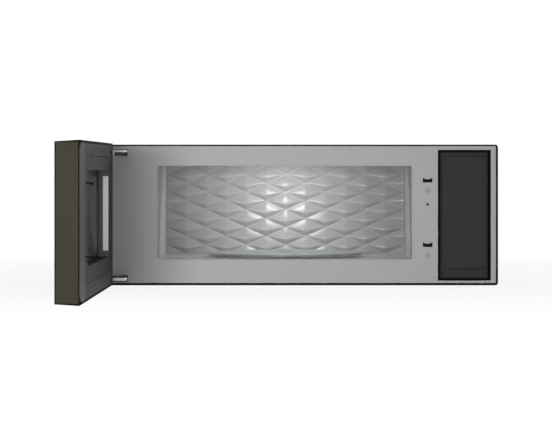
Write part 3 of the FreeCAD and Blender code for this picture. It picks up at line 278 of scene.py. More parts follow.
def groupFinish(slot, look, group, scales, bump, **sockets):
    tree, shader = newFinish(slot, **sockets)
    coat = placeGroup(tree, group, **{
        "Colour": opaque(look["colour"]), "Shade Colour": opaque(look["shade"]),
        "Roughness": look["roughness"], "Roughness Spread": look["spread"], **scales,
    })
    tint, matt = dressEdges(tree, look, coat["Colour"], coat["Roughness"])
    feed(tree, tint, shader, "Base Color")
    feed(tree, matt, shader, "Roughness")
    addBump(tree, shader, coat["Height"], *bump)


def coatFinish(slot, look):
    scales = {"Cloud Scale": look["cloudScale"], "Peel Scale": look["peelScale"]}
    groupFinish(slot, look, sprayedCoat, scales, (look["peel"], look["peelDepth"]),
                Specular_IOR_Level=look["gloss"], Metallic=look.get("metal", 0.0))


coatFinish("black_case", {
    "colour": (0.034, 0.034, 0.036), "shade": (0.026, 0.026, 0.028), "cloudScale": 7.0, "peelScale": 1100.0,
    "roughness": 0.46, "spread": 0.14, "gloss": 0.42, "peel": 0.25, "peelDepth": 0.0002,
    "wearAndShadingColour": (0.16, 0.16, 0.165), "wearAndShadingWidth": 0.0012, "wearAndShadingAmount": 0.55,
})
coatFinish("bezel_black", {
    "colour": (0.010, 0.010, 0.011), "shade": (0.007, 0.007, 0.008), "cloudScale": 11.0, "peelScale": 1300.0,
    "roughness": 0.50, "spread": 0.12, "gloss": 0.08, "peel": 0.2, "peelDepth": 0.0001,
    "wearAndShadingColour": (0.03, 0.03, 0.031), "wearAndShadingWidth": 0.0009, "wearAndShadingAmount": 0.5,
})
# lighter edges are a painted highlight; the dimples carry a painted soft shade
coatFinish("grey_enamel", {
    "colour": (0.395, 0.396, 0.398), "shade": (0.352, 0.353, 0.355), "cloudScale": 5.0, "peelScale": 1500.0,
    "roughness": 0.40, "spread": 0.10, "gloss": 0.45, "peel": 0.18, "peelDepth": 0.0001,
    "wearAndShadingColour": (0.56, 0.56, 0.56), "wearAndShadingWidth": 0.0010, "wearAndShadingAmount": 0.6,
    "dimples": ((0.2440, 0.0, 0.1816), (0.2440, 0.0, 0.0578)), "dimpleReach": 0.009,
    "dimpleColour": (0.25, 0.25, 0.25),
})
coatFinish("cavity_enamel", {
    "colour": (0.32, 0.321, 0.323), "shade": (0.29, 0.291, 0.293), "cloudScale": 6.0, "peelScale": 700.0,
    "roughness": 0.27, "spread": 0.08, "gloss": 0.42, "peel": 0.12, "peelDepth": 0.0001,
    "wearAndShadingColour": (0.58, 0.58, 0.58), "wearAndShadingWidth": 0.0010, "wearAndShadingAmount": 0.5,
})
# the back wall's enamel painted lighter for the side walls and floor, as painted light; lighter edges are a
# painted highlight
coatFinish("wall_enamel_painted_lighter", {
    "colour": (0.53, 0.531, 0.533), "shade": (0.475, 0.476, 0.478), "cloudScale": 6.0, "peelScale": 700.0,
    "roughness": 0.30, "spread": 0.08, "gloss": 0.42, "peel": 0.12, "peelDepth": 0.0001,
    "wearAndShadingColour": (0.70, 0.70, 0.70), "wearAndShadingWidth": 0.0010, "wearAndShadingAmount": 0.5,
})
coatFinish("dark_plastic", {
    "colour": (0.028, 0.028, 0.029), "shade": (0.019, 0.019, 0.020), "cloudScale": 14.0, "peelScale": 2400.0,
    "roughness": 0.55, "spread": 0.12, "gloss": 0.14, "peel": 0.4, "peelDepth": 0.0002,
    "wearAndShadingColour": (0.055, 0.055, 0.058), "wearAndShadingWidth": 0.0008, "wearAndShadingAmount": 0.6,
})
# painted shade: a dark band along the pocket's edges
coatFinish("pocket_plastic", {
    "colour": (0.034, 0.034, 0.034), "shade": (0.024, 0.024, 0.024), "cloudScale": 14.0, "peelScale": 2400.0,
    "roughness": 0.55, "spread": 0.12, "gloss": 0.14, "peel": 0.4, "peelDepth": 0.0002,
    "edged": "control_pocket", "edgeWidths": (0.0075, 0.5, 0.0065), "edgeShadeColour": (0.003, 0.003, 0.003),
})
# a painted highlight along the edges, and painted shade as a dark line along the door back's edges
coatFinish("liner_plastic", {
    "colour": (0.024, 0.024, 0.025), "shade": (0.016, 0.016, 0.017), "cloudScale": 14.0, "peelScale": 2400.0,
    "roughness": 0.54, "spread": 0.12, "gloss": 0.14, "peel": 0.4, "peelDepth": 0.0002,
    "wearAndShadingColour": (0.12, 0.12, 0.122), "wearAndShadingWidth": 0.0030, "wearAndShadingAmount": 0.9,
    "edged": "door_back", "edgeWidths": (0.004, 0.0005, 0.0040), "edgeShadeColour": (0.002, 0.002, 0.002),
})
# painted shade: a dark line along the cover's edges
coatFinish("cover_plastic", {
    "colour": (0.044, 0.044, 0.044), "shade": (0.034, 0.034, 0.034), "cloudScale": 12.0, "peelScale": 2200.0,
    "roughness": 0.52, "spread": 0.1, "gloss": 0.28, "peel": 0.35, "peelDepth": 0.0002,
    "wearAndShadingColour": (0.12, 0.12, 0.12), "wearAndShadingWidth": 0.0010, "wearAndShadingAmount": 0.5,
    "edged": "control_cover", "edgeWidths": (0.004, 0.0005, 0.0040), "edgeShadeColour": (0.002, 0.002, 0.002),
})
coatFinish("white_plastic", {
    "colour": (0.74, 0.735, 0.70), "shade": (0.66, 0.65, 0.61), "cloudScale": 30.0, "peelScale": 1600.0,
    "roughness": 0.42, "spread": 0.12, "gloss": 0.45, "peel": 0.2, "peelDepth": 0.0001,
})
coatFinish("bush", {
    "colour": (0.48, 0.36, 0.17), "shade": (0.36, 0.26, 0.12), "cloudScale": 220.0, "peelScale": 3000.0,
    "roughness": 0.36, "spread": 0.16, "gloss": 0.5, "metal": 1.0, "peel": 0.3, "peelDepth": 0.0001,
})
coatFinish("bright_trim", {
    "colour": (0.95, 0.95, 0.95), "shade": (0.88, 0.88, 0.88), "cloudScale": 20.0, "peelScale": 1400.0,
    "roughness": 0.36, "spread": 0.10, "gloss": 0.5, "metal": 0.6, "peel": 0.15, "peelDepth": 0.0001,
})
print("coated finishes ready")


grainDepth = 0.1 * mm


def brushedFinish(slot, look):
    groupFinish(slot, look, brushedGrain, {"Stretch": look["stretch"]}, (look["grain"], grainDepth),
                Metallic=look.get("metal", 1.0), Specular_IOR_Level=look.get("gloss", 0.5))


# painted shade: a dark line along the door skin's edges
brushedFinish("black_stainless", {
    "colour": (0.031, 0.027, 0.016), "shade": (0.023, 0.020, 0.012), "stretch": (1500.0, 1500.0, 10.0),
    "roughness": 0.46, "spread": 0.14, "grain": 0.2, "metal": 0.2, "gloss": 0.15,
    "edged": "door_skin", "edgeWidths": (0.0026, 0.0006, 0.0048), "edgeShadeColour": (0.002, 0.002, 0.002),
})
brushedFinish("chrome", {
    "colour": (0.72, 0.72, 0.73), "shade": (0.58, 0.58, 0.59), "stretch": (60.0, 900.0, 900.0),
    "roughness": 0.26, "spread": 0.10, "grain": 0.08,
})
# the hinge arms' chrome painted dark as shade, with painted dark outlines along its edges
brushedFinish("arm_chrome_painted_dark", {
    "colour": (0.070, 0.070, 0.072), "shade": (0.045, 0.045, 0.046), "stretch": (60.0, 900.0, 900.0),
    "roughness": 0.34, "spread": 0.10, "grain": 0.08,
    "wearAndShadingColour": (0.008, 0.008, 0.008), "wearAndShadingWidth": 0.0030, "wearAndShadingAmount": 2.0,
})
brushedFinish("aluminium", {
    "colour": (0.66, 0.665, 0.67), "shade": (0.50, 0.505, 0.51), "stretch": (30.0, 1200.0, 1200.0),
    "roughness": 0.36, "spread": 0.16, "grain": 0.15,
})
brushedFinish("dark_steel", {
    "colour": (0.060, 0.060, 0.062), "shade": (0.035, 0.035, 0.036), "stretch": (20.0, 20.0, 400.0),
    "roughness": 0.45, "spread": 0.15, "grain": 0.15,
})
brushedFinish("laminations", {
    "colour": (0.30, 0.29, 0.28), "shade": (0.06, 0.058, 0.055), "stretch": (8.0, 2600.0, 8.0),
    "roughness": 0.46, "spread": 0.2, "grain": 0.5,
})
brushedFinish("copper", {
    "colour": (0.60, 0.26, 0.12), "shade": (0.24, 0.09, 0.04), "stretch": (10.0, 10.0, 2400.0),
    "roughness": 0.30, "spread": 0.15, "grain": 0.5,
})
print("brushed finishes ready")


# two shades parted by a mask, which also changes the roughness

def roughenBy(tree, shader, mask, look):
    feed(tree, mathNode(tree, "MULTIPLY_ADD", mask, look["spread"], look["roughness"]), shader, "Roughness")


def tintBy(tree, shader, mask, look):
    feed(tree, blendColour(tree, mask, opaque(look["colour"]), opaque(look["shade"])), shader, "Base Color")
    roughenBy(tree, shader, mask, look)


# galvanised sheet with its spangle

def galvanised(slot, look):
    tree, shader = newFinish(slot, Metallic=1.0)
    spangle = addNode(tree, "ShaderNodeTexVoronoi", Vector=objectPlace(tree), Scale=look["spangle"]).outputs
    flake = mathNode(tree, "FRACT", mathNode(tree, "MULTIPLY", spangle["Color"], look["shuffle"]))
    tintBy(tree, shader, flake, look)
    addBump(tree, shader, spangle["Distance"], *look["bump"])


galvanised("plain_steel", {
    "colour": (0.46, 0.465, 0.475), "shade": (0.58, 0.585, 0.595), "spangle": 70.0, "shuffle": 3.7,
    "roughness": 0.34, "spread": 0.16, "bump": (0.05, 0.5 * mm),
})


# sheets of glass, with wipe marks

glassBump = (0.02, 0.4 * mm)


def glassFinish(slot, look):
    tree, shader = newFinish(
        slot, Base_Color=opaque(look["colour"]), Transmission_Weight=look["clear"], IOR=look["bend"],
        Specular_IOR_Level=look["gloss"])
    marks = placeGroup(tree, wipeMarks, Scale=look["markScale"], Low=look["low"], High=look["high"])
    feed(tree, marks["Roughness"], shader, "Roughness")
    addBump(tree, shader, marks["Mask"], *glassBump)


glassFinish("black_glass", {
    "colour": (0.010, 0.010, 0.011), "clear": 0.0, "bend": 1.5, "gloss": 0.5, "markScale": 7.0,
    "low": 0.05, "high": 0.13,
})
glassFinish("clear_glass", {
    "colour": (0.66, 0.69, 0.69), "clear": 0.70, "bend": 1.48, "gloss": 0.6, "markScale": 11.0,
    "low": 0.10, "high": 0.20,
})
glassFinish("lens_plastic", {
    "colour": (0.90, 0.90, 0.87), "clear": 0.75, "bend": 1.45, "gloss": 0.5, "markScale": 60.0,
    "low": 0.35, "high": 0.55,
})
glassFinish("smoked_pane", {
    "colour": (0.22, 0.22, 0.222), "clear": 1.0, "bend": 1.18, "gloss": 0.1, "markScale": 8.0,
    "low": 0.38, "high": 0.50,
})


# mica sheet: layered flakes

def micaFinish(slot, look):
    tree, shader = newFinish(slot, Specular_IOR_Level=look["gloss"])
    place = objectPlace(tree)
    warp = addNode(tree, "ShaderNodeTexNoise", Vector=place, Scale=look["warpScale"], Detail=3.0).outputs
    flakes = addNode(tree, "ShaderNodeTexVoronoi", Vector=warp["Color"], Scale=look["flakeScale"]).outputs
    tintBy(tree, shader, mathNode(tree, "MULTIPLY", flakes["Distance"], warp["Fac"]), look)
    addBump(tree, shader, flakes["Distance"], *look["bump"])


micaFinish("mica", {
    "colour": (0.42, 0.41, 0.39), "shade": (0.58, 0.565, 0.54), "warpScale": 35.0, "flakeScale": 160.0,
    "gloss": 0.6, "roughness": 0.28, "spread": 0.3, "bump": (0.2, 0.2 * mm),
})


# printed board: lacquer over copper tracks

def boardFinish(slot, look):
    tree, shader = newFinish(slot, Specular_IOR_Level=look["gloss"])
    turned = addNode(tree, "ShaderNodeMapping", Vector=objectPlace(tree), Rotation=(math.radians(90), 0.0, 0.0))
    tracks = addNode(tree, "ShaderNodeTexBrick", Vector=turned.outputs[0], Scale=look["trackScale"],
                     Color1=opaque(look["lacquer"]), Color2=opaque(look["deep"]), Mortar=opaque(look["track"]))
    feed(tree, look["trackWidth"], tracks, "Mortar Size")
    feed(tree, tracks.outputs["Color"], shader, "Base Color")
    roughenBy(tree, shader, tracks.outputs["Fac"], look)
    addBump(tree, shader, tracks.outputs["Fac"], *look["bump"])


boardFinish("circuit", {
    "lacquer": (0.02, 0.10, 0.045), "deep": (0.016, 0.08, 0.036), "track": (0.10, 0.22, 0.08),
    "trackScale": 45.0, "trackWidth": 0.035, "gloss": 0.5, "roughness": 0.28, "spread": 0.2,
    "bump": (0.3, 0.1 * mm),
})


# perforated screen behind the smoked pane of the door: a square grid of dark holes

def screenFinish(slot, look):
    tree, shader = newFinish(slot, Metallic=look["metal"])
    spot = addNode(tree, "ShaderNodeSeparateXYZ", Vector=objectPlace(tree)).outputs
    flat = addNode(tree, "ShaderNodeCombineXYZ", X=spot["Y"], Y=spot["Z"]).outputs[0]
    dots = addNode(tree, "ShaderNodeTexVoronoi", voronoi_dimensions="2D", Vector=flat,
                   Scale=1 / look["pitch"], Randomness=0.0)
    hole = mathNode(tree, "LESS_THAN", dots.outputs["Distance"], look["hole"])
    tintBy(tree, shader, hole, look)
    addBump(tree, shader, mathNode(tree, "SUBTRACT", 1.0, hole), *look["bump"])


screenFinish("perforated_screen", {
    "colour": (0.050, 0.050, 0.052), "shade": (0.004, 0.004, 0.004), "pitch": 2.6 * mm, "hole": 0.33,
    "metal": 0.6, "roughness": 0.42, "spread": 0.4, "bump": (0.6, 0.4 * mm),
})
print("glass, mica, board and screen finishes ready")


# CAD nodes take the finish of their slot, apart from these

ownFinishes = {
    "hinge_arm_upper": "arm_chrome_painted_dark", "hinge_arm_lower": "arm_chrome_painted_dark", "door_back": "liner_plastic",
    "door_liner": "liner_plastic", "cavity_wrap": "wall_enamel_painted_lighter", "cavity_floor": "wall_enamel_painted_lighter",
    "control_pocket": "pocket_plastic", "mesh_screen": "perforated_screen", "inner_window": "smoked_pane",
}


def coverWith(mesh, finish):
    mesh.materials.clear()
    mesh.materials.append(finish)


for part in frame["record"]["subparts"]:
    finish = ownFinishes.get(part["node"], part["material_slot"])
    coverWith(cadNodes[part["node"]].data, finishes[finish])
print(len(cadNodes), "CAD nodes dressed")


# small helpers for pieces

def addObject(name, data):
    item = bpy.data.objects.new(name, data)
    bpy.context.scene.collection.objects.link(item)
    return item


def frozenMesh(holder):
    mesh = bpy.data.meshes.new_from_object(holder.evaluated_get(bpy.context.evaluated_depsgraph_get()))
    bpy.data.objects.remove(holder)
    return mesh


def meshFrom(shape, name):
    mesh = bpy.data.meshes.new(name)
    shape.to_mesh(mesh)
    shape.free()
    return mesh


def addPiece(name, mesh, body, turn=Matrix.Identity(4)):
    mesh.transform(turn)
    mesh.name = name
    piece = addObject(name, mesh)
    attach(piece, body)
    return piece


def facing(normal, up, at):
    normal, up = Vector(normal), Vector(up)
    across = up.cross(normal)
    turn = Matrix((across, up, normal)).transposed().to_4x4()
    turn.translation = Vector(at)
    return turn


# geometry node trees: named inputs, ending in realised mesh with its finish

inputKinds = {int: "NodeSocketInt", float: number, tuple: vector}


def geoTree(name, values):
    tree = bpy.data.node_groups.new(name, "GeometryNodeTree")
    for label, value in values.items():
        socket = tree.interface.new_socket(label, in_out="INPUT", socket_type=inputKinds[type(value)])
        socket.default_value = value
    tree.interface.new_socket("Geometry", in_out="OUTPUT", socket_type="NodeSocketGeometry")
    return tree, tree.nodes.new("NodeGroupInput").outputs


def closeTree(tree, geometry, finish):
    real = addNode(tree, "GeometryNodeRealizeInstances", Geometry=geometry)
    dressed = addNode(tree, "GeometryNodeSetMaterial", Geometry=real.outputs[0], Material=finish)
    feed(tree, dressed.outputs[0], tree.nodes.new("NodeGroupOutput"), 0)


def repeatOn(tree, points, instance, **settings):
    spread = addNode(tree, "GeometryNodeInstanceOnPoints", Points=points, Instance=instance, **settings)
    return spread.outputs[0]


def growMesh(name, tree, values, thickness=0.0):
    holder = addObject(name, bpy.data.meshes.new(name))
    maker = holder.modifiers.new(name, "NODES")
    maker.node_group = tree
    names = {item.name: item.identifier for item in tree.interface.items_tree if item.in_out == "INPUT"}
    for label, value in values.items():
        maker[names[label]] = value
    if thickness:
        wall = holder.modifiers.new("wall", "SOLIDIFY")
        wall.thickness, wall.offset = thickness, -1.0
    mesh = frozenMesh(holder)
    coverWith(mesh, mesh.materials[-1])  # realised instances leave an empty slot before it
    return mesh


# stamped back wall of the oven: rows of diamonds with soft ridges

quilt = {"sheet": 1 * mm, "inputs": {
    "Columns": 6.0, "Rows": 5.0, "Rise": 6.3 * mm, "Drop": 6 * mm, "Swell": 0.5, "Soft Ridge": 0.14,
    "Cells X": 241, "Cells Z": 201,
}}


def makeQuiltTree(values):
    tree, given = geoTree("stampedDiamonds", values)
    sheet = tree.nodes.new("GeometryNodeMeshGrid")
    for label, socket in (("Width", "Size X"), ("Height", "Size Y"),
                          ("Cells X", "Vertices X"), ("Cells Z", "Vertices Y")):
        feed(tree, given[label], sheet, socket)
    place = tree.nodes.new("GeometryNodeInputPosition").outputs[0]
    spot = addNode(tree, "ShaderNodeSeparateXYZ", Vector=place).outputs

    def halfSteps(axis, span, count):
        share = mathNode(tree, "ADD", mathNode(tree, "DIVIDE", spot[axis], given[span]), 0.5)
        return mathNode(tree, "MULTIPLY", share, mathNode(tree, "MULTIPLY", given[count], 2.0))

    across, up = halfSteps(0, "Width", "Columns"), halfSteps(1, "Height", "Rows")

    def fromValley(diagonal):
        return mathNode(tree, "PINGPONG", mathNode(tree, "ADD", diagonal, 0.5), 0.5)

    rising = mathNode(tree, "MULTIPLY", mathNode(tree, "ADD", across, up), 0.5)
    falling = mathNode(tree, "MULTIPLY", mathNode(tree, "SUBTRACT", across, up), 0.5)
    ridge = mathNode(tree, "SMOOTH_MIN", fromValley(rising), fromValley(falling), given["Soft Ridge"])
    height = mathNode(tree, "MULTIPLY", ridge, 2.0)

    # whole diamonds hang below their middle; the half ones along the border stay level
    nearRising, nearFalling = mathNode(tree, "ROUND", rising), mathNode(tree, "ROUND", falling)
    inside = height
    for operation, count in (("ADD", "Columns"), ("SUBTRACT", "Rows")):
        peak = mathNode(tree, operation, nearRising, nearFalling)
        last = mathNode(tree, "SUBTRACT", mathNode(tree, "MULTIPLY", given[count], 2.0), 0.5)
        inside = mathNode(tree, "MULTIPLY", inside, mathNode(tree, "GREATER_THAN", peak, 0.5))
        inside = mathNode(tree, "MULTIPLY", inside, mathNode(tree, "LESS_THAN", peak, last))
    sunk = mathNode(tree, "MULTIPLY", inside, mathNode(tree, "MULTIPLY", given["Drop"], -1.0))
    puffed = mathNode(tree, "MULTIPLY", mathNode(tree, "SUBTRACT", 1.0, height), given["Swell"])
    puffed = mathNode(tree, "MULTIPLY", height, mathNode(tree, "ADD", puffed, 1.0))
    lift = addNode(tree, "ShaderNodeCombineXYZ", Y=sunk, Z=mathNode(tree, "MULTIPLY", puffed, given["Rise"]))
    pressed = addNode(tree, "GeometryNodeSetPosition", Geometry=sheet.outputs[0], Offset=lift.outputs[0])
    smooth = addNode(tree, "GeometryNodeSetShadeSmooth", Geometry=pressed.outputs[0])
    closeTree(tree, smooth.outputs[0], finishes["cavity_enamel"])
    return tree


def makeQuiltedBack():
    low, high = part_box("cavity_back")
    values = {"Width": high.x - low.x, "Height": high.z - low.z, **quilt["inputs"]}
    mesh = growMesh("quiltedBack", makeQuiltTree(values), values, quilt["sheet"])
    middle = (low + high) / 2
    at = (middle.x, high.y - quilt["sheet"], middle.z)
    piece = addPiece("quiltedBack", mesh, "cabinet", facing((0, -1, 0), (0, 0, 1), at))
    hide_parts("cavity_back")


makeQuiltedBack()
print("oven back wall stamped")


# rolled edges drawn as closed wires

cornerSteps = 6


def wireMesh(name, points, radius, finish):
    data = bpy.data.curves.new(name, "CURVE")
    data.dimensions = "3D"
    data.bevel_depth, data.bevel_resolution = radius, 2
    line = data.splines.new("POLY")
    line.points.add(len(points) - 1)
    for point, place in zip(line.points, points):
        point.co = (*place, 1.0)
    line.use_cyclic_u = True
    mesh = frozenMesh(addObject(name, data))
    coverWith(mesh, finish)
    mesh.polygons.foreach_set("use_smooth", [True] * len(mesh.polygons))
    return mesh


def roundedLoop(low, high, radius):
    loop = []
    corners = [(high[0], low[1], -90), (high[0], high[1], 0), (low[0], high[1], 90), (low[0], low[1], 180)]
    for x, z, start in corners:
        cx = x - radius if x == high[0] else x + radius
        cz = z - radius if z == high[1] else z + radius
        for i in range(cornerSteps + 1):
            angle = math.radians(start + 90 * i / cornerSteps)
            loop.append((cx + radius * math.cos(angle), cz + radius * math.sin(angle)))
    return loop


# thin plates pressed on flat faces, with softened edges

def platesMesh(name, boxes, soft, finish):
    shape = bmesh.new()
    for low, high in boxes:
        size = Vector(high) - Vector(low)
        at = Matrix.Translation((Vector(low) + Vector(high)) / 2) @ Matrix.Diagonal((*size, 1.0))
        bmesh.ops.create_cube(shape, size=1.0, matrix=at)
    bmesh.ops.bevel(shape, geom=shape.edges[:], offset=soft, segments=2, profile=0.5, affect="EDGES")
    mesh = meshFrom(shape, name)
    coverWith(mesh, finish)
    return mesh


armTrim = {"left": -360.5 * mm, "right": -333.5 * mm, "proud": 0.5 * mm, "sink": 0.3 * mm, "leg": 3.4 * mm,
           "upper": (256.0 * mm, 259.4 * mm), "legEnd": 249.8 * mm, "lower": (9.7 * mm, 15.2 * mm),
           "soft": 0.3 * mm}


def makeArmTrim():
    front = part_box("hinge_arm_upper")[0].y
    near, far = front - armTrim["proud"], front + armTrim["sink"]
    left, right = armTrim["left"], armTrim["right"]
    boxes = [((left, near, armTrim["upper"][0]), (right, far, armTrim["upper"][1])),
             ((left, near, armTrim["legEnd"]), (left + armTrim["leg"], far, armTrim["upper"][0])),
             ((left, near, armTrim["lower"][0]), (right, far, armTrim["lower"][1]))]
    mesh = platesMesh("armTrim", boxes, armTrim["soft"], finishes["chrome"])
    addPiece("armTrim", mesh, "cabinet")


makeArmTrim()


# lining of the window recess: a grey panel behind the strip, and black strips of painted shade on the recess's
# top and bottom walls

windowReveal = {"wall": 2 * mm, "thick": 0.3 * mm, "shy": 0.2 * mm, "soft": 0.08 * mm}

coatFinish("reveal_grey", {
    "colour": (0.16, 0.16, 0.162), "shade": (0.13, 0.13, 0.132), "cloudScale": 30.0, "peelScale": 2200.0,
    "roughness": 0.5, "spread": 0.1, "gloss": 0.3, "peel": 0.3, "peelDepth": 0.0002,
})
# painted shade: black for the strips on the recess's top and bottom walls
coatFinish("recess_shade_black", {
    "colour": (0.006, 0.006, 0.006), "shade": (0.004, 0.004, 0.004), "cloudScale": 30.0, "peelScale": 2600.0,
    "roughness": 0.7, "spread": 0.1, "gloss": 0.05, "peel": 0.3, "peelDepth": 0.0002,
})


def makeWindowReveal():
    pane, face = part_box("inner_window"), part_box("door_liner")[1].x
    wall, thick, shy = windowReveal["wall"], windowReveal["thick"], windowReveal["shy"]
    soft = windowReveal["soft"]
    x = (pane[1].x + shy, face - shy)
    y = (pane[0].y + wall, pane[1].y - wall)
    z = (pane[0].z + wall, pane[1].z - wall)
    panel = [((x[0], y[1] - thick, z[0] + thick), (x[1], y[1], z[1] - thick))]
    mesh = platesMesh("revealPanel", panel, soft, finishes["reveal_grey"])
    addPiece("revealPanel", mesh, "door")
    shadeStrips = [((x[0], y[0] + shy, z[0]), (x[1], y[1] - shy, z[0] + thick)),
             ((x[0], y[0] + shy, z[1] - thick), (x[1], y[1] - shy, z[1]))]
    mesh = platesMesh("revealSeals", shadeStrips, soft, finishes["recess_shade_black"])
    addPiece("revealSeals", mesh, "door")


makeWindowReveal()
print("arm trim and window lining in place")

mouthEdge = {"radius": 0.8 * mm, "corner": 4 * mm, "proud": 0.35 * mm, "inset": 1.32 * mm}


def makeMouthEdge():
    low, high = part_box("cavity_wrap")
    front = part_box("front_plate")[0].y
    inset = mouthEdge["inset"]  # past the cavity sheet, just inside the mouth
    loop = roundedLoop((low.x + inset, low.z + inset), (high.x - inset, high.z - inset), mouthEdge["corner"])
    depth = front - mouthEdge["proud"] + mouthEdge["radius"]
    points = [(x, depth, z) for x, z in loop]
    mesh = wireMesh("mouthEdge", points, mouthEdge["radius"], finishes["grey_enamel"])
    addPiece("mouthEdge", mesh, "cabinet")


makeMouthEdge()


# pan-head screws in rows

screwLook = {"radius": 3.6 * mm, "height": 1.5 * mm, "segments": 24, "crossWidth": 0.75 * mm,
             "crossReach": 2.0 * mm, "crossDepth": 0.8 * mm,
             "profile": ((1.0, 0.0), (1.0, 0.45), (0.86, 0.85), (0.62, 1.0), (0.4, 1.0), (0.2, 1.0))}

brushedFinish("screw_zinc", {
    "colour": (0.62, 0.62, 0.63), "shade": (0.46, 0.46, 0.47), "stretch": (400.0, 400.0, 400.0),
    "roughness": 0.34, "spread": 0.14, "grain": 0.1,
})


def makeScrewHead():
    count, sunk = screwLook["segments"], screwLook["crossDepth"]
    shape = bmesh.new()
    rings = []
    for wide, tall in screwLook["profile"]:
        radius, height = screwLook["radius"] * wide, screwLook["height"] * tall
        ring = []
        for i in range(count):
            angle = 2 * math.pi * i / count
            x, y = radius * math.cos(angle), radius * math.sin(angle)
            near, far = sorted((abs(x), abs(y)))
            inCross = near < screwLook["crossWidth"] and far < screwLook["crossReach"]
            ring.append(shape.verts.new((x, y, height - sunk if inCross else height)))
        rings.append(ring)
    middle = shape.verts.new((0, 0, screwLook["height"] - sunk))
    for i in range(count):
        j = (i + 1) % count
        for outer, inner in zip(rings, rings[1:]):
            shape.faces.new((outer[i], outer[j], inner[j], inner[i]))
        shape.faces.new((rings[-1][i], rings[-1][j], middle))
    shape.faces.new(list(reversed(rings[0])))
    return bpy.data.objects.new("screwHead", meshFrom(shape, "screwHead"))


def makeScrewTree(head):
    tree, given = geoTree("screwRow", {
        "Start": (0.0, 0.0, 0.0), "Step": (0.1, 0.0, 0.0), "Count": 3, "Turn": (0.0, 0.0, 0.0),
        "Size": (1.0, 1.0, 1.0),
    })
    row = addNode(tree, "GeometryNodeMeshLine", mode="OFFSET", Count=given["Count"], Offset=given["Step"])
    feed(tree, given["Start"], row, "Start Location")
    shown = addNode(tree, "GeometryNodeObjectInfo", Object=head).outputs["Geometry"]
    turn = tree.nodes.new("FunctionNodeEulerToRotation")
    feed(tree, given["Turn"], turn, 0)
    rows = repeatOn(tree, row.outputs[0], shown, Rotation=turn.outputs[0], Scale=given["Size"])
    closeTree(tree, rows, finishes["screw_zinc"])
    return tree


def screwRows():
    low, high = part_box("outer_case")
    right = math.radians(90)
    flush = {"Size": (1.0, 1.0, 0.2)}  # nearly level with the sheet, to stay in the CAD box
    rows = [
        {"Start": (-0.34, -0.394, high.z), "Step": (0.17, 0, 0), "Count": 5, **flush},
        {"Start": (-0.34, -0.016, high.z), "Step": (0.68, 0, 0), "Count": 2, **flush},
    ]
    for x, turn, size in ((low.x, (0, -right, 0), {}), (high.x, (0, right, 0), flush)):
        for z in (0.245, 0.022):
            rows.append({"Start": (x, -0.385, z), "Step": (0, 0.115, 0), "Count": 4, "Turn": turn, **size})
    turn = (-right, 0, 0)
    for z, step, count in ((0.255, 0.18, 5), (0.012, 0.24, 4)):
        rows.append({"Start": (-0.36, 0, z), "Step": (step, 0, 0), "Count": count, "Turn": turn, **flush})
    turn = (2 * right, 0, 0)
    for y in (-0.39, -0.02):
        rows.append({"Start": (-0.365, y, 0), "Step": (0.1825, 0, 0), "Count": 5, "Turn": turn, **flush})
    return rows


def makeCaseScrews():
    head = makeScrewHead()
    tree = makeScrewTree(head)
    shape = bmesh.new()
    for row in screwRows():
        shape.from_mesh(growMesh("screwRow", tree, row))
    mesh = meshFrom(shape, "caseScrews")
    coverWith(mesh, finishes["screw_zinc"])
    addPiece("caseScrews", mesh, "cabinet")
    bpy.data.objects.remove(head)


makeCaseScrews()
print("case screws in place")


# grease filters: expanded metal under each pad sheet, and a pull ring

weave = {"rim": 7 * mm, "lift": 1.35 * mm, "inputs": {
    "Diamond Width": 13 * mm, "Diamond Length": 8 * mm, "Strand": 0.55 * mm,
}}


def bandMesh(tree, curve, width, height):
    band = addNode(tree, "GeometryNodeCurvePrimitiveQuadrilateral", mode="RECTANGLE",
                   Width=width, Height=height)
    mesh = addNode(tree, "GeometryNodeCurveToMesh", Curve=curve)
    feed(tree, band.outputs[0], mesh, "Profile Curve")
    return mesh.outputs[0]


def makeWeaveTree():
    tree, given = geoTree("expandedMetal", {"Width": 130 * mm, "Length": 200 * mm, **weave["inputs"]})
    diamond = addNode(tree, "GeometryNodeCurvePrimitiveQuadrilateral", mode="KITE")
    feed(tree, given["Diamond Width"], diamond, "Width")
    half = mathNode(tree, "MULTIPLY", given["Diamond Length"], 0.5)
    feed(tree, half, diamond, "Bottom Height")
    feed(tree, half, diamond, "Top Height")
    strand = given["Strand"]
    cell = bandMesh(tree, diamond.outputs[0], mathNode(tree, "MULTIPLY", strand, 2.0), strand)
    both = tree.nodes.new("GeometryNodeJoinGeometry")
    for trim in (0.0, 1.0):  # the second grid sits half a diamond in
        field = tree.nodes.new("GeometryNodeMeshGrid")
        for span, step, axis in (("Width", "Diamond Width", "X"), ("Length", "Diamond Length", "Y")):
            cells = mathNode(tree, "FLOOR", mathNode(tree, "DIVIDE", given[span], given[step]))
            gaps = mathNode(tree, "SUBTRACT", cells, 1.0 + trim)
            feed(tree, mathNode(tree, "MULTIPLY", gaps, given[step]), field, f"Size {axis}")
            feed(tree, mathNode(tree, "ADD", gaps, 1.0), field, f"Vertices {axis}")
        feed(tree, field.outputs[0], both, 0)
    closeTree(tree, repeatOn(tree, both.outputs[0], cell), finishes["aluminium"])
    return tree


pullRing = {"wide": 26 * mm, "deep": 13 * mm, "wire": 0.7 * mm, "fromEdge": 9 * mm, "lift": 0.75 * mm,
            "corner": 5 * mm}


